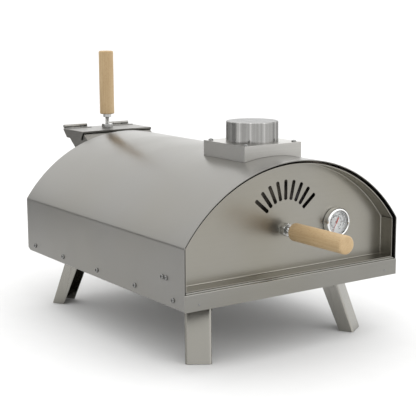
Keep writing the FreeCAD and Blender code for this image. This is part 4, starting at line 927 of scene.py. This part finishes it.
add_piece("door_pan", door_mesh, door_steel, "door", ["door_panel"],
          edge=0.18, angle=50)
print("door faces:", len(door_mesh.polygons))

# %% [markdown]
# ## Flue cap
#
# The cap is a drawn cup: flat on top, with a rounded shoulder and a rim that is left open. It
# is spun about its own axis, so its finish can draw the polishing rings round that axis.

# %% Flue cap
cap_tall = cap_high.z - cap_low.z
middle_dip, shoulder_dip, rim_lean, flat_share = 0.35 * MM, 0.15 * MM, 0.2 * MM, 0.86
outer_ease, inner_ease = 1.4 * MM, 1.0 * MM
cap_outer = rounded([(0, cap_tall - middle_dip),
                     (cap_radius * flat_share, cap_tall - shoulder_dip),
                     (cap_radius - rim_lean, cap_tall), (cap_radius, 0)], outer_ease)
cap_inner = rounded([(cap_radius - sheet, 0), (cap_radius - sheet, cap_tall - sheet),
                     (0, cap_tall - sheet)], inner_ease)
cap_mesh = spun(cap_outer + cap_inner, 96)
add_piece("flue_cap_cup", cap_mesh, cap_steel, "flue_cap", ["chimney_cap"],
          at=Matrix.Translation((0, flue_y, cap_low.z)), edge=0.15, angle=50)
print("cap is %.0f mm across and %.0f mm tall" % (2 * cap_radius / MM, cap_tall / MM))

# %% [markdown]
# ## Hopper lid
#
# The lid is folded from one sheet: a flat top, a deep flap down each side and a small lip
# along the front. The flaps are trimmed to a curve in front and to a slope behind, so the lid
# can swing back clear of the hopper. It is folded first, and the flaps are trimmed after, as in
# the workshop.

# %% Hopper lid
lid_low, lid_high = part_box("hopper_lid")
lid_bend, front_lip, over = 2.0 * MM, 3 * MM, 1 * MM
lid_line = eased([(lid_low.x, lid_low.z), (lid_low.x, lid_high.z), (lid_high.x, lid_high.z),
                  (lid_high.x, lid_low.z)], lid_bend)
lid_blank = folded(lid_line, -sheet, lid_low.y, lid_high.y, "y")
flap = lid_high.z - lid_low.z
curve_belly, curve_foot, belly_share, slope_share = 6.5 * MM, 7.1 * MM, 0.55, 0.9
curve = [(p.x, p.y) for p in bow(
    Vector((lid_low.y, lid_high.z - front_lip)),
    Vector((lid_low.y + curve_belly, lid_high.z - belly_share * flap)),
    Vector((lid_low.y + curve_foot, lid_low.z)), 8)]
slope_foot = (lid_high.y - slope_share * flap, lid_low.z - over)
front_trim = curve + [(curve[-1][0], lid_low.z - over), (lid_low.y - over, lid_low.z - over),
                      (lid_low.y - over, lid_high.z - front_lip)]
slope_top = lid_high.z - sheet - over
rear_trim = [slope_foot, (lid_high.y + over, lid_low.z - over),
             (lid_high.y + over, slope_top), (lid_high.y, slope_top)]
lid_mesh = carved(lid_blank, [prism(trim, lid_low.x - over, lid_high.x + over, "x")
                              for trim in (front_trim, rear_trim)])
lip_sunk, lip_end = 0.4 * MM, 0.6 * MM
lip_foot, lip_top = lid_high.z - front_lip, lid_high.z - lip_sunk
lip_strip = prism([(lid_low.y, lip_foot), (lid_low.y + sheet, lip_foot),
                   (lid_low.y + sheet, lip_top), (lid_low.y, lip_top)],
                  lid_low.x + lip_end, lid_high.x - lip_end, "x")
lid_mesh = carved(lid_mesh, [lip_strip], "UNION")
print("lid faces:", len(lid_mesh.polygons))
add_piece("lid_cover", lid_mesh, pan_steel, "fuel_lid", ["hopper_lid"],
          edge=0.2, angle=50)

# %% [markdown]
# ## Wooden grips
#
# Each grip is turned from beech: almost straight, a hair fatter in the middle, with a rounded
# outer end and a small hole at the inner end for the stud. It is spun about Z and then turned
# to point the way the handle does.

# %% Grips
handles = {
    "door_handle": ("door", (0, -1, 0)),
    "lid_handle": ("fuel_lid", (0, 0, 1)),
    "grate_handle": ("grate_drawer", (0, 1, 0)),
}


def span_along(low, high, direction):
    """Where a piece starts, how long it is and how wide, seen along its direction."""
    axis = main_axis(direction)
    start = (low + high) / 2
    start[axis] = low[axis] if direction[axis] > 0 else high[axis]
    other = (axis + 1) % 3
    return start, high[axis] - low[axis], (high[other] - low[other]) / 2


def grip_mesh(radius, length, bore):
    """A turned grip from its bored end to its rounded end."""
    near_round, far_round, hole_deep, waist = 2 * MM, 3 * MM, 9 * MM, 0.15 * MM
    points = [(0, hole_deep), (bore, hole_deep), (bore, 0)]
    points += arc(radius - near_round, near_round, near_round, -1, 0, 6)
    for k in range(1, 8):
        t = k / 8
        points.append((radius - waist * (1 - math.sin(math.pi * t)),
                       near_round + t * (length - near_round - far_round)))
    points += arc(radius - far_round, length - far_round, far_round, 0, 1, 8)
    points += [(radius * 0.5, length), (0, length)]
    return spun(points, 72)


grip_bore = 4 * MM
for name, (body, direction) in handles.items():
    low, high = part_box(name + "_grip")
    start, length, radius = span_along(low, high, direction)
    add_piece(name + "_beech", grip_mesh(radius, length, grip_bore), wood, body, [name + "_grip"],
              at=facing(start, direction), edge=0)
    print("%s grip: %.0f mm long, %.0f mm across" % (name, length / MM, 2 * radius / MM))

# %% [markdown]
# ## Studs, nuts and washers
#
# A threaded stud runs from each grip through the sheet. The thread is a real helix: each point
# of the rod moves in or out with how far it is round and along. Nuts are six-sided with their
# corners turned off at about 30 degrees, which is a hexagon where the corners are pulled down
# a little at each face.

# %% Studs and nuts
def threaded(radius, length, pitch=1.25 * MM, depth=0.55 * MM, segments=30, rows=6):
    """A threaded rod along Z, with a small chamfer at each end."""
    chamfer_long, chamfer_deep = 0.8 * MM, 0.5 * MM
    bm = bmesh.new()
    count = int(length / pitch * rows)
    rings = []
    for i in range(count + 1):
        z = length * i / count
        ring = []
        for k in range(segments):
            phase = (z / pitch - k / segments) % 1
            groove = depth * abs(2 * phase - 1)
            ease = min(1, min(z, length - z) / chamfer_long)
            r = radius - groove - (1 - ease) * chamfer_deep
            angle = 2 * math.pi * k / segments
            ring.append(bm.verts.new((r * math.cos(angle), r * math.sin(angle), z)))
        rings.append(ring)
    for lower, upper in zip(rings, rings[1:]):
        bridge(bm, lower, upper)
    bm.faces.new(rings[0][::-1])
    bm.faces.new(rings[-1])
    return bm


def nut(across, thick, bore, steps=6):
    """A hexagonal nut along Z, with turned-off corners and a chamfered bore."""
    bm = bmesh.new()
    flat, bore_chamfer = across / 2, 0.5 * MM
    rings = []
    count = 6 * steps

    def ring(reach, limit, z):
        points = []
        for k in range(count):
            angle = 2 * math.pi * k / count
            inner = (angle + math.pi / 6) % (math.pi / 3) - math.pi / 6
            hexagon = flat / math.cos(inner)
            r = min(hexagon, limit) if reach is None else reach
            points.append(bm.verts.new((r * math.cos(angle), r * math.sin(angle), z)))
        rings.append(points)

    corner = flat / math.cos(math.pi / 6)
    cut_down = (corner - flat) * 0.55
    ring(bore + bore_chamfer, 0, 0)
    ring(None, flat, 0)
    ring(None, corner, cut_down)
    ring(None, corner, thick - cut_down)
    ring(None, flat, thick)
    ring(bore + bore_chamfer, 0, thick)
    ring(bore, 0, thick - bore_chamfer)
    ring(bore, 0, bore_chamfer)
    for first, second in zip(rings, rings[1:] + rings[:1]):
        bridge(bm, first, second)
    return bm


thickest_washer, washer_ease, stud_hole = 2 * MM, 0.3 * MM, 4 * MM
for name, (body, direction) in handles.items():
    low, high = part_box(name + "_stud")
    start, length, radius = span_along(low, high, direction)
    add_piece(name + "_thread", threaded(radius, length), zinc, body, [name + "_stud"],
              at=facing(start, direction), edge=0, angle=60)
    hardware = bmesh.new()
    for low, high in islands(name + "_nuts"):
        start, thick, radius = span_along(low, high, direction)
        across = min(high[i] - low[i] for i in range(3) if i != main_axis(direction))
        if thick < thickest_washer:
            disc = rounded([(stud_hole, 0), (radius, 0), (radius, thick), (stud_hole, thick)],
                           washer_ease, 2)
            shape = spun(disc, 48)
        else:
            shape = nut(across, thick, stud_hole)
        gather(hardware, shape, facing(start, direction))
    add_piece(name + "_hardware", hardware, zinc, body, [name + "_nuts"],
              edge=0.12, angle=35)
    print("%s stud: %.0f mm long" % (name, length / MM))

# %% [markdown]
# ## Thermometer
#
# The thermometer is a bought-in part: a bright spun bezel over a shallow case, a flat glass, a
# white dial with black ticks and numbers, and a red pointer. The bezel's roll is what makes it
# look real, because it mirrors the whole room, so its profile is drawn with care. The numbers
# are plain degrees.

# %% Thermometer case and bezel
bezel_low, bezel_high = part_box("thermometer_bezel")
dial_centre = (bezel_low + bezel_high) / 2
dial_centre.y = plate_y
dial_frame = facing(dial_centre, (0, -1, 0))
bezel_radius = (bezel_high.x - bezel_low.x) / 2
bezel_deep = plate_y - bezel_low.y
inside_bezel = bezel_radius - 4.6 * MM
seat, roll_radius = bezel_radius - 1.9 * MM, 3.4 * MM
bezel_line = [(seat, 0.6 * MM), (bezel_radius - 0.2 * MM, 1.0 * MM),
              (bezel_radius, 1.6 * MM), (bezel_radius, bezel_deep - 4.5 * MM)]
bezel_line += arc(bezel_radius - roll_radius, bezel_deep - roll_radius, roll_radius, 0, 1, 8)
bezel_line += [(inside_bezel + 0.5 * MM, bezel_deep - 0.5 * MM),
               (inside_bezel, bezel_deep - 1.4 * MM), (inside_bezel, bezel_deep - 2.0 * MM),
               (seat, bezel_deep - 2.0 * MM)]
add_piece("bezel_ring", spun(bezel_line, 96), chrome, "door", ["thermometer_bezel"],
          at=dial_frame, edge=0)
cup_hole, cup_wall, cup_deep = 3 * MM, 0.8 * MM, 9 * MM
cup_outside, cup_inside = bezel_radius - 2 * MM, bezel_radius - 2.8 * MM
case_line = rounded([(cup_hole, 0), (cup_outside, 0), (cup_outside, cup_deep),
                     (cup_inside, cup_deep), (cup_inside, cup_wall), (cup_hole, cup_wall)],
                    0.4 * MM, 2)
add_piece("thermometer_cup", spun(case_line, 72), chrome, "door", ["thermometer_case"],
          at=dial_frame, edge=0)
dial_radius = bezel_radius - 2.9 * MM
glass_back, glass_front = 9.05 * MM, 9.95 * MM
glass_line = rounded([(0, glass_back), (dial_radius, glass_back), (dial_radius, glass_front),
                      (0, glass_front)], 0.2 * MM, 2)
add_piece("dial_glass_disc", spun(glass_line, 72), glass, "door", ["thermometer_glass"],
          at=dial_frame, edge=0)
print("bezel is %.0f mm across" % (2 * bezel_radius / MM))

# %% [markdown]
# ## Dial
#
# A printed dial could be an image, but an image blurs when you come close. Here each tick, arc
# and number is a patch of ink a tenth of a millimetre thick, set on a white disc, so the print
# stays sharp at any distance. The numbers are Blender text turned into mesh.

# %% Dial with ticks and numbers
dial_face, dial_back, dial_hole, dial_ease = 4.6 * MM, 4.0 * MM, 1.0 * MM, 0.1 * MM
dial_line = [(dial_hole, dial_back), (dial_radius, dial_back),
             (dial_radius, dial_face - dial_ease), (dial_radius - dial_ease, dial_face),
             (dial_hole, dial_face)]
add_piece("dial_disc", spun(dial_line, 72), dial_white, "door", ["thermometer_dial"],
          at=dial_frame, edge=0)


def dial_point(radius, degrees):
    """A point on the dial, with degrees clockwise from the top as it is read."""
    angle = math.radians(degrees)
    return Vector((radius * math.sin(angle), radius * math.cos(angle)))


def ink_strip(bm, corners, low, high):
    """A thin raised patch of ink with the given outline."""
    bottom = [bm.verts.new((p.x, p.y, low)) for p in corners]
    top = [bm.verts.new((p.x, p.y, high)) for p in corners]
    bm.faces.new(bottom[::-1])
    bm.faces.new(top)
    for k in range(len(corners)):
        bm.faces.new((bottom[k - 1], bottom[k], top[k], top[k - 1]))


dial_ink_low, dial_ink_high = dial_face - 0.02 * MM, dial_face + 0.08 * MM
sweep_start, sweep = -150, 300
ticks, numbers = 50, 5
tick_outside, number_ring, number_tall = 9.4 * MM, 11.9 * MM, 2.6 * MM
marks = bmesh.new()
for k in range(ticks + 1):
    degrees = sweep_start + sweep * k / ticks
    long_tick = k % 5 == 0
    inner, outer = (7.3 if long_tick else 8.3) * MM, tick_outside
    wide = (0.26 if long_tick else 0.13) * MM
    along = dial_point(1, degrees)
    across = Vector((along.y, -along.x)) * wide
    ink_strip(marks, [along * inner - across, along * outer - across, along * outer + across,
                      along * inner + across], dial_ink_low, dial_ink_high)
for radius, wide, first, last in ((9.75, 0.16, -150, 150), (16.9, 0.20, -118, 118),
                                  (15.6, 0.60, 20, 62), (15.6, 0.60, 70, 100),
                                  (13.9, 0.42, 30, 118), (15.6, 0.60, -60, -22),
                                  (15.6, 0.60, -100, -70)):
    count = max(2, int((last - first) / 6))
    for k in range(count):
        a = first + (last - first) * k / count
        b = first + (last - first) * (k + 1) / count
        near, far = (radius - wide / 2) * MM, (radius + wide / 2) * MM
        ink_strip(marks, [dial_point(near, a), dial_point(far, a), dial_point(far, b),
                          dial_point(near, b)], dial_ink_low, dial_ink_high)
for k in range(numbers + 1):
    number = bpy.data.curves.new("number", "FONT")
    number.body = str(100 * k)
    number.size = number_tall
    number.align_x = "CENTER"
    number.align_y = "CENTER"
    number.extrude = 0.05 * MM
    holder = bpy.data.objects.new("number", number)
    put_in_scene(holder)
    bpy.context.view_layer.update()
    letters = bpy.data.meshes.new_from_object(
        holder.evaluated_get(bpy.context.evaluated_depsgraph_get()))
    bpy.data.objects.remove(holder)
    spot = dial_point(number_ring, sweep_start + sweep * k / numbers)
    start = len(marks.verts)
    marks.from_mesh(letters)
    marks.verts.ensure_lookup_table()
    bmesh.ops.translate(marks, verts=marks.verts[start:],
                        vec=(spot.x, spot.y, dial_face + 0.03 * MM))
    bpy.data.meshes.remove(letters)
marks_piece = add_piece("dial_marks", marks, dial_ink, "door", [],
                        at=dial_frame, edge=0)
print("dial marks:", len(marks_piece.data.polygons), "faces")

# %% [markdown]
# ## Pointer, stem and nut
#
# The pointer turns by itself, so it rides on its own body. Its length and direction are read
# from the engineering pointer: the corner furthest from the dial's centre is the tip. The stem
# is the probe that reaches through the door, and a nut behind the plate holds the whole case.

# %% Pointer, stem and nut
tips = [v.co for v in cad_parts["thermometer_needle"].data.vertices]
far_tip = max(tips, key=lambda p: Vector((p.x - dial_centre.x, p.z - dial_centre.z)).length)
reach = Vector((far_tip.x - dial_centre.x, far_tip.z - dial_centre.z))
pointer = bmesh.new()
ahead = reach.normalized()
sideways = Vector((ahead.y, -ahead.x))
shape = [(1.0, 0.12), (0.05, 0.42), (-0.10, 0.75), (-0.42, 0.95), (-0.50, 0.80)]
outline = [ahead * reach.length * f + sideways * w * MM for f, w in shape]
outline += [ahead * reach.length * f - sideways * w * MM for f, w in reversed(shape)]
pointer_back, pointer_front = 5.5 * MM, 5.9 * MM
ink_strip(pointer, outline, pointer_back, pointer_front)
hub = spun(rounded([(0.8 * MM, 5.4 * MM), (1.7 * MM, 5.4 * MM), (1.5 * MM, 6.3 * MM),
                    (0.8 * MM, 6.5 * MM)], 0.2 * MM, 2), 32)
gather(pointer, hub, Matrix())
add_piece("pointer_red", pointer, red_paint, "needle", ["thermometer_needle"],
          at=dial_frame, edge=0.05)
stem_tip = plate_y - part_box("thermometer_stem")[1].y
probe_radius, spindle_radius, spindle_end = 3.0 * MM, 0.7 * MM, 7.0 * MM
stem_line = [(0, stem_tip), (2.0 * MM, stem_tip + 0.4 * MM), (probe_radius, stem_tip + 2.0 * MM),
             (probe_radius, 1.9 * MM), (spindle_radius, 2.0 * MM),
             (spindle_radius, spindle_end - 0.4 * MM), (0.4 * MM, spindle_end),
             (0, spindle_end)]
add_piece("probe_stem", spun(stem_line, 40), chrome, "door", ["thermometer_stem"],
          at=dial_frame, edge=0)
(low, high), = islands("thermometer_nut")
start, thick, radius = span_along(low, high, (0, 1, 0))
across = min(high.x - low.x, high.z - low.z)
add_piece("probe_nut", nut(across, thick, probe_radius), zinc, "door", ["thermometer_nut"],
          at=facing(start, (0, 1, 0)), edge=0.12, angle=35)
print("thermometer at", [round(c / MM) for c in dial_centre])

# %% [markdown]
# ## Screws and rivets
#
# Pan head screws with a cross recess hold the sheets together. One head is made with care and
# then copied to every place where the engineering model has a screw, which is what a builder
# would do too: one kind of screw out of one box. The strip under the door is held by small
# rivets, which are the same domed shape, smaller and with no recess.

# %% Screws and rivets
def pan_head(radius, tall, shank, shank_long, crossed=True):
    """A domed head, with a cross recess or plain, on a short shank. Its underside is at 0."""
    arm_turns, arm_long, arm_wide, arm_deep = (20, 110), 1.15, 0.28, 1.3
    line = [(0, tall)]
    for k in range(1, 9):
        angle = math.pi / 2 * k / 8
        line.append((radius * math.sin(angle), tall * (0.35 + 0.65 * math.cos(angle))))
    line += [(radius, 0.0), (shank, 0.0), (shank, -shank_long + 0.6 * MM),
             (shank * 0.6, -shank_long), (0, -shank_long)]
    cross = []
    for degrees in arm_turns if crossed else ():
        arm = bmesh.new()
        bmesh.ops.create_cube(arm, size=1)
        bmesh.ops.transform(arm, verts=arm.verts, matrix=Matrix.Translation((0, 0, tall))
                            @ Matrix.Rotation(math.radians(degrees), 4, "Z")
                            @ Matrix.Diagonal((arm_long * radius, arm_wide * radius,
                                               arm_deep * tall, 1)))
        cross.append(arm)
    return carved(spun(line[::-1], 28), cross)


def screw_set(name, node, outward, shape):
    """The shape at each place that the node has one. outward gives the way its head faces."""
    places = []
    for low, high in islands(node):
        direction = Vector(outward(low, high))
        axis = main_axis(direction)
        head = (low + high) / 2
        head[axis] = high[axis] if direction[axis] > 0 else low[axis]
        tall = max(v.co.z for v in shape.vertices)
        places.append(facing(head - direction * tall, direction))
    pattern = bmesh.new()
    pattern.from_mesh(shape)
    add_piece(name, copies(pattern, places), screw_steel, "oven_body", [node],
              edge=0, angle=35)
    return len(places)


screw_shape = pan_head(radius=3.8 * MM, tall=2.6 * MM, shank=2.0 * MM, shank_long=6.8 * MM)
rivet_shape = pan_head(radius=1.9 * MM, tall=0.6 * MM, shank=1.2 * MM, shank_long=3.9 * MM,
                       crossed=False)
count = 0
for name, node, outward, shape in (
        ("left_side_screws", "shell_screws_left", lambda low, high: (-1, 0, 0), screw_shape),
        ("right_side_screws", "shell_screws_right", lambda low, high: (1, 0, 0), screw_shape),
        ("front_frame_screws", "frame_screws",
         lambda low, high: (1 if low.x > 0 else -1, 0, 0), screw_shape),
        ("back_panel_screws", "panel_screws", lambda low, high: (0, 1, 0), screw_shape),
        ("chute_screws", "hopper_screws", lambda low, high: (0, 1, 0), screw_shape),
        ("flue_box_screws", "chimney_screws", lambda low, high: (0, 0, 1), screw_shape),
        ("strip_rivets", "fascia_rivets", lambda low, high: (0, -1, 0), rivet_shape)):
    count += screw_set(name, node, outward, shape)
print("screws and rivets:", count)

# %% [markdown]
# ## Leg bolts and nuts
#
# Each leg turns on a hexagonal bolt through its bracket, with a nut on the far side. The bolts
# lie along each bracket, so their direction is found from the matching nut.

# %% Leg bolts
bolt_radius, bolt_long, bolt_pitch = 3 * MM, 48.4 * MM, 1 * MM
nut_across, nut_thick, bolt_grip = 10 * MM, 4 * MM, 42.6 * MM
leg_bolts = bmesh.new()
leg_nuts = bmesh.new()
corner_of = {}
for low, high in islands("leg_bolts"):
    middle = (low + high) / 2
    corner_of[(middle.x > 0, middle.y > 0)] = middle
for low, high in islands("leg_nuts"):
    nut_middle = (low + high) / 2
    bolt_middle = corner_of[(nut_middle.x > 0, nut_middle.y > 0)]
    way = Vector((nut_middle.x - bolt_middle.x, nut_middle.y - bolt_middle.y, 0)).normalized()
    nut_start = nut_middle - way * nut_thick / 2
    bolt_start = nut_start - way * bolt_grip
    head = nut(nut_across, nut_thick, bolt_radius - 0.8 * MM)
    shank = threaded(bolt_radius, bolt_long, pitch=bolt_pitch, depth=0.4 * bolt_pitch,
                     segments=20, rows=4)
    for target, shape, start in ((leg_nuts, nut(nut_across, nut_thick, bolt_radius), nut_start),
                                 (leg_bolts, head, bolt_start - way * nut_thick),
                                 (leg_bolts, shank, bolt_start)):
        gather(target, shape, facing(start, way))
add_piece("pivot_bolts", leg_bolts, zinc, "oven_body", ["leg_bolts"], edge=0,
          angle=35)
add_piece("pivot_nuts", leg_nuts, zinc, "oven_body", ["leg_nuts"], edge=0,
          angle=35)
print("leg bolts:", len(corner_of))

# %% [markdown]
# ## Pieces carried over from the engineering model
#
# The other sheet pieces already have the right folds and holes. They only get a finish and a
# deburred edge. A glTF file splits a mesh at every crease, so the corners are welded first;
# without that the bevel would find no shared edges to round.

# %% Finish the carried-over pieces
def dress(node, finish, edge=0.25, angle=40):
    """Weld, deburr and finish one engineering piece, leaving its own points where they are."""
    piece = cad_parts[node]
    piece.data.materials.clear()
    piece.data.materials.append(finish)
    if edge:
        weld = piece.modifiers.new("weld", "WELD")
        weld.merge_threshold = 0.002 * MM
        soften(piece, edge, angle)


carried = {
    "base_tray": (pan_steel, 0.25), "door_sill": (fascia_steel, 0.2),
    "hearth_pan": (liner_steel, 0.2), "front_frame": (liner_steel, 0.2),
    "floor_insulation": (blanket, 0), "insulation_blanket": (blanket, 0),
    "inner_liner": (liner_steel, 0), "pizza_stone": (stone, 0.4),
    "flame_baffle": (sooty_steel, 0.2), "grate_rails": (liner_steel, 0.2),
    "fire_basket": (pan_steel, 0.2), "ash_grid": (sooty_steel, 0.15),
    "grate_plate": (pan_steel, 0.2), "rear_panel": (shell_steel, 0.2),
    "hopper": (pan_steel, 0.2), "lid_hinge_leaves": (hinge_steel, 0.15),
    "hopper_hinge_leaves": (hinge_steel, 0.15), "hinge_pins": (zinc, 0.2),
    "chimney_base": (flue_steel, 0.25), "flue_tube": (flue_steel, 0.15),
    "door_plug": (sooty_steel, 0.2),
}
for corner in ("front_left", "front_right", "rear_left", "rear_right"):
    carried["leg_" + corner] = (leg_steel, 0.3)
    carried["leg_bracket_" + corner] = (leg_steel, 0.25)
for node, (finish, edge) in carried.items():
    dress(node, finish, edge)
bare = [n for n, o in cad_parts.items() if not o.hide_render and n not in carried]
print("carried over:", len(carried), "left bare:", bare)

# %% [markdown]
# ## Floor
#
# Bright metal is nearly all reflection, so the room matters as much as the steel. The floor is
# one plain, pale, dry sheet of studio paper. The sides and the door mirror it, so its tone sets
# theirs. A large grid stands in for the paper roll, and only its finish has any detail.

# %% Floor
def plain_floor(name):
    """Pale matt studio paper with hardly any sheen."""
    material, tree, shader, place = new_finish(name)
    dust = stretched_noise(tree, place, (30, 30, 30), detail=2.0)
    tree.links.new(ramp(tree, dust, [(0.3, floor_dark), (0.7, floor_light)]),
                   shader.inputs["Base Color"])
    tree.links.new(between(tree, dust, 0.85, 0.95), shader.inputs["Roughness"])
    shader.inputs["Specular IOR Level"].default_value = 0.1
    return material


floor_dark, floor_light = (0.715, 0.715, 0.715), (0.725, 0.725, 0.725)
floor_reach = 12
floor_mesh = bpy.data.meshes.new("floor")
floor_shape = bmesh.new()
bmesh.ops.create_grid(floor_shape, x_segments=4, y_segments=4, size=floor_reach)
floor_shape.to_mesh(floor_mesh)
floor_shape.free()
floor_mesh.materials.append(plain_floor("studio_floor"))
floor = bpy.data.objects.new("floor", floor_mesh)
floor.location.z = -0.5 * MM
put_in_scene(floor)
print("floor is %.0f m wide" % (2 * max(v.co.x for v in floor_mesh.vertices)))

# %% [markdown]
# ## Light
#
# A soft, even sky lights everything, as white walls do. It is darker low on the left, like a
# room with an open doorway there, which shades the side wall. A grey flag stands on that side
# too. It is a card that neither the camera nor the shadows see, so all it does is darken what
# the side wall mirrors. Two large softboxes, one overhead and one in front on the right, add
# the soft highlights that show the bends.

# %% Light
sky_strength = 1.48
world = bpy.data.worlds.new("studio")
bpy.context.scene.world = world
world.use_nodes = True
sky = world.node_tree
direction = sky.nodes.new("ShaderNodeTexCoord").outputs["Generated"]
parts = sky.nodes.new("ShaderNodeSeparateXYZ")
sky.links.new(direction, parts.inputs[0])
height = between(sky, parts.outputs[2], 0.0, 1.0, 0.0, 0.9)
room = ramp(sky, height, [(0.0, (1.0, 1.0, 1.0)), (0.55, (1.0, 1.0, 0.99)),
                          (0.95, (1.1, 1.1, 1.1))])
leftward = between(sky, parts.outputs[0], 0.65, 0.0, -0.6, -0.1)
low_down = between(sky, parts.outputs[2], 1.0, 0.0, 0.2, 0.5)
doorway = maths(sky, "MULTIPLY", leftward, low_down)
room = mixed(sky, "MIX", doorway, room, (0.0, 0.0, 0.0))
sky.links.new(room, sky.nodes["Background"].inputs["Color"])
sky.nodes["Background"].inputs["Strength"].default_value = sky_strength


def softbox(name, spot, aim, wide, tall, power):
    """A rectangular soft light that faces a point."""
    data = bpy.data.lights.new(name, "AREA")
    data.shape = "RECTANGLE"
    data.size, data.size_y = wide, tall
    data.energy = power
    lamp = bpy.data.objects.new(name, data)
    lamp.location = spot
    lamp.rotation_mode = "QUATERNION"
    lamp.rotation_quaternion = (Vector(aim) - Vector(spot)).to_track_quat("-Z", "Y")
    put_in_scene(lamp)
    return lamp


def grey_flag(name, spot, aim, wide, tall, tone):
    """A standing card that only shows as a reflection, as a studio flag does."""
    material, tree, shader, place = new_finish(name + "_cloth")
    weave = stretched_noise(tree, place, (40, 40, 40), detail=2.0)
    tree.links.new(ramp(tree, weave, [(0.3, (tone * 0.95,) * 3), (0.7, (tone * 1.05,) * 3)]),
                   shader.inputs["Base Color"])
    shader.inputs["Roughness"].default_value = 1.0
    cloth = bmesh.new()
    bmesh.ops.create_grid(cloth, x_segments=1, y_segments=1, size=0.5)
    mesh = bpy.data.meshes.new(name)
    cloth.to_mesh(mesh)
    cloth.free()
    mesh.materials.append(material)
    card = bpy.data.objects.new(name, mesh)
    card.rotation_mode = "QUATERNION"
    card.rotation_quaternion = (Vector(aim) - Vector(spot)).to_track_quat("Z", "Y")
    card.location = spot
    card.scale = (wide, tall, 1)
    card.visible_camera = False
    card.visible_diffuse = False
    card.visible_shadow = False
    put_in_scene(card)


grey_flag("left_flag", (-0.75, 0.75, 0.22), (-0.2, 0.0, 0.22), 1.5, 0.44, 0.42)
lamps = [softbox("overhead", (0.1, 0.2, 2.4), (0, 0, 0.2), 2.4, 2.0, 9),
         softbox("front_fill", (1.2, -2.0, 1.5), (0, 0, 0.15), 1.2, 1.2, 4)]
bpy.context.scene.view_settings.view_transform = "Standard"
bpy.context.scene.view_settings.look = "None"
bpy.context.scene.cycles.use_denoising = True
print("softboxes:", ", ".join(lamp.name for lamp in lamps))
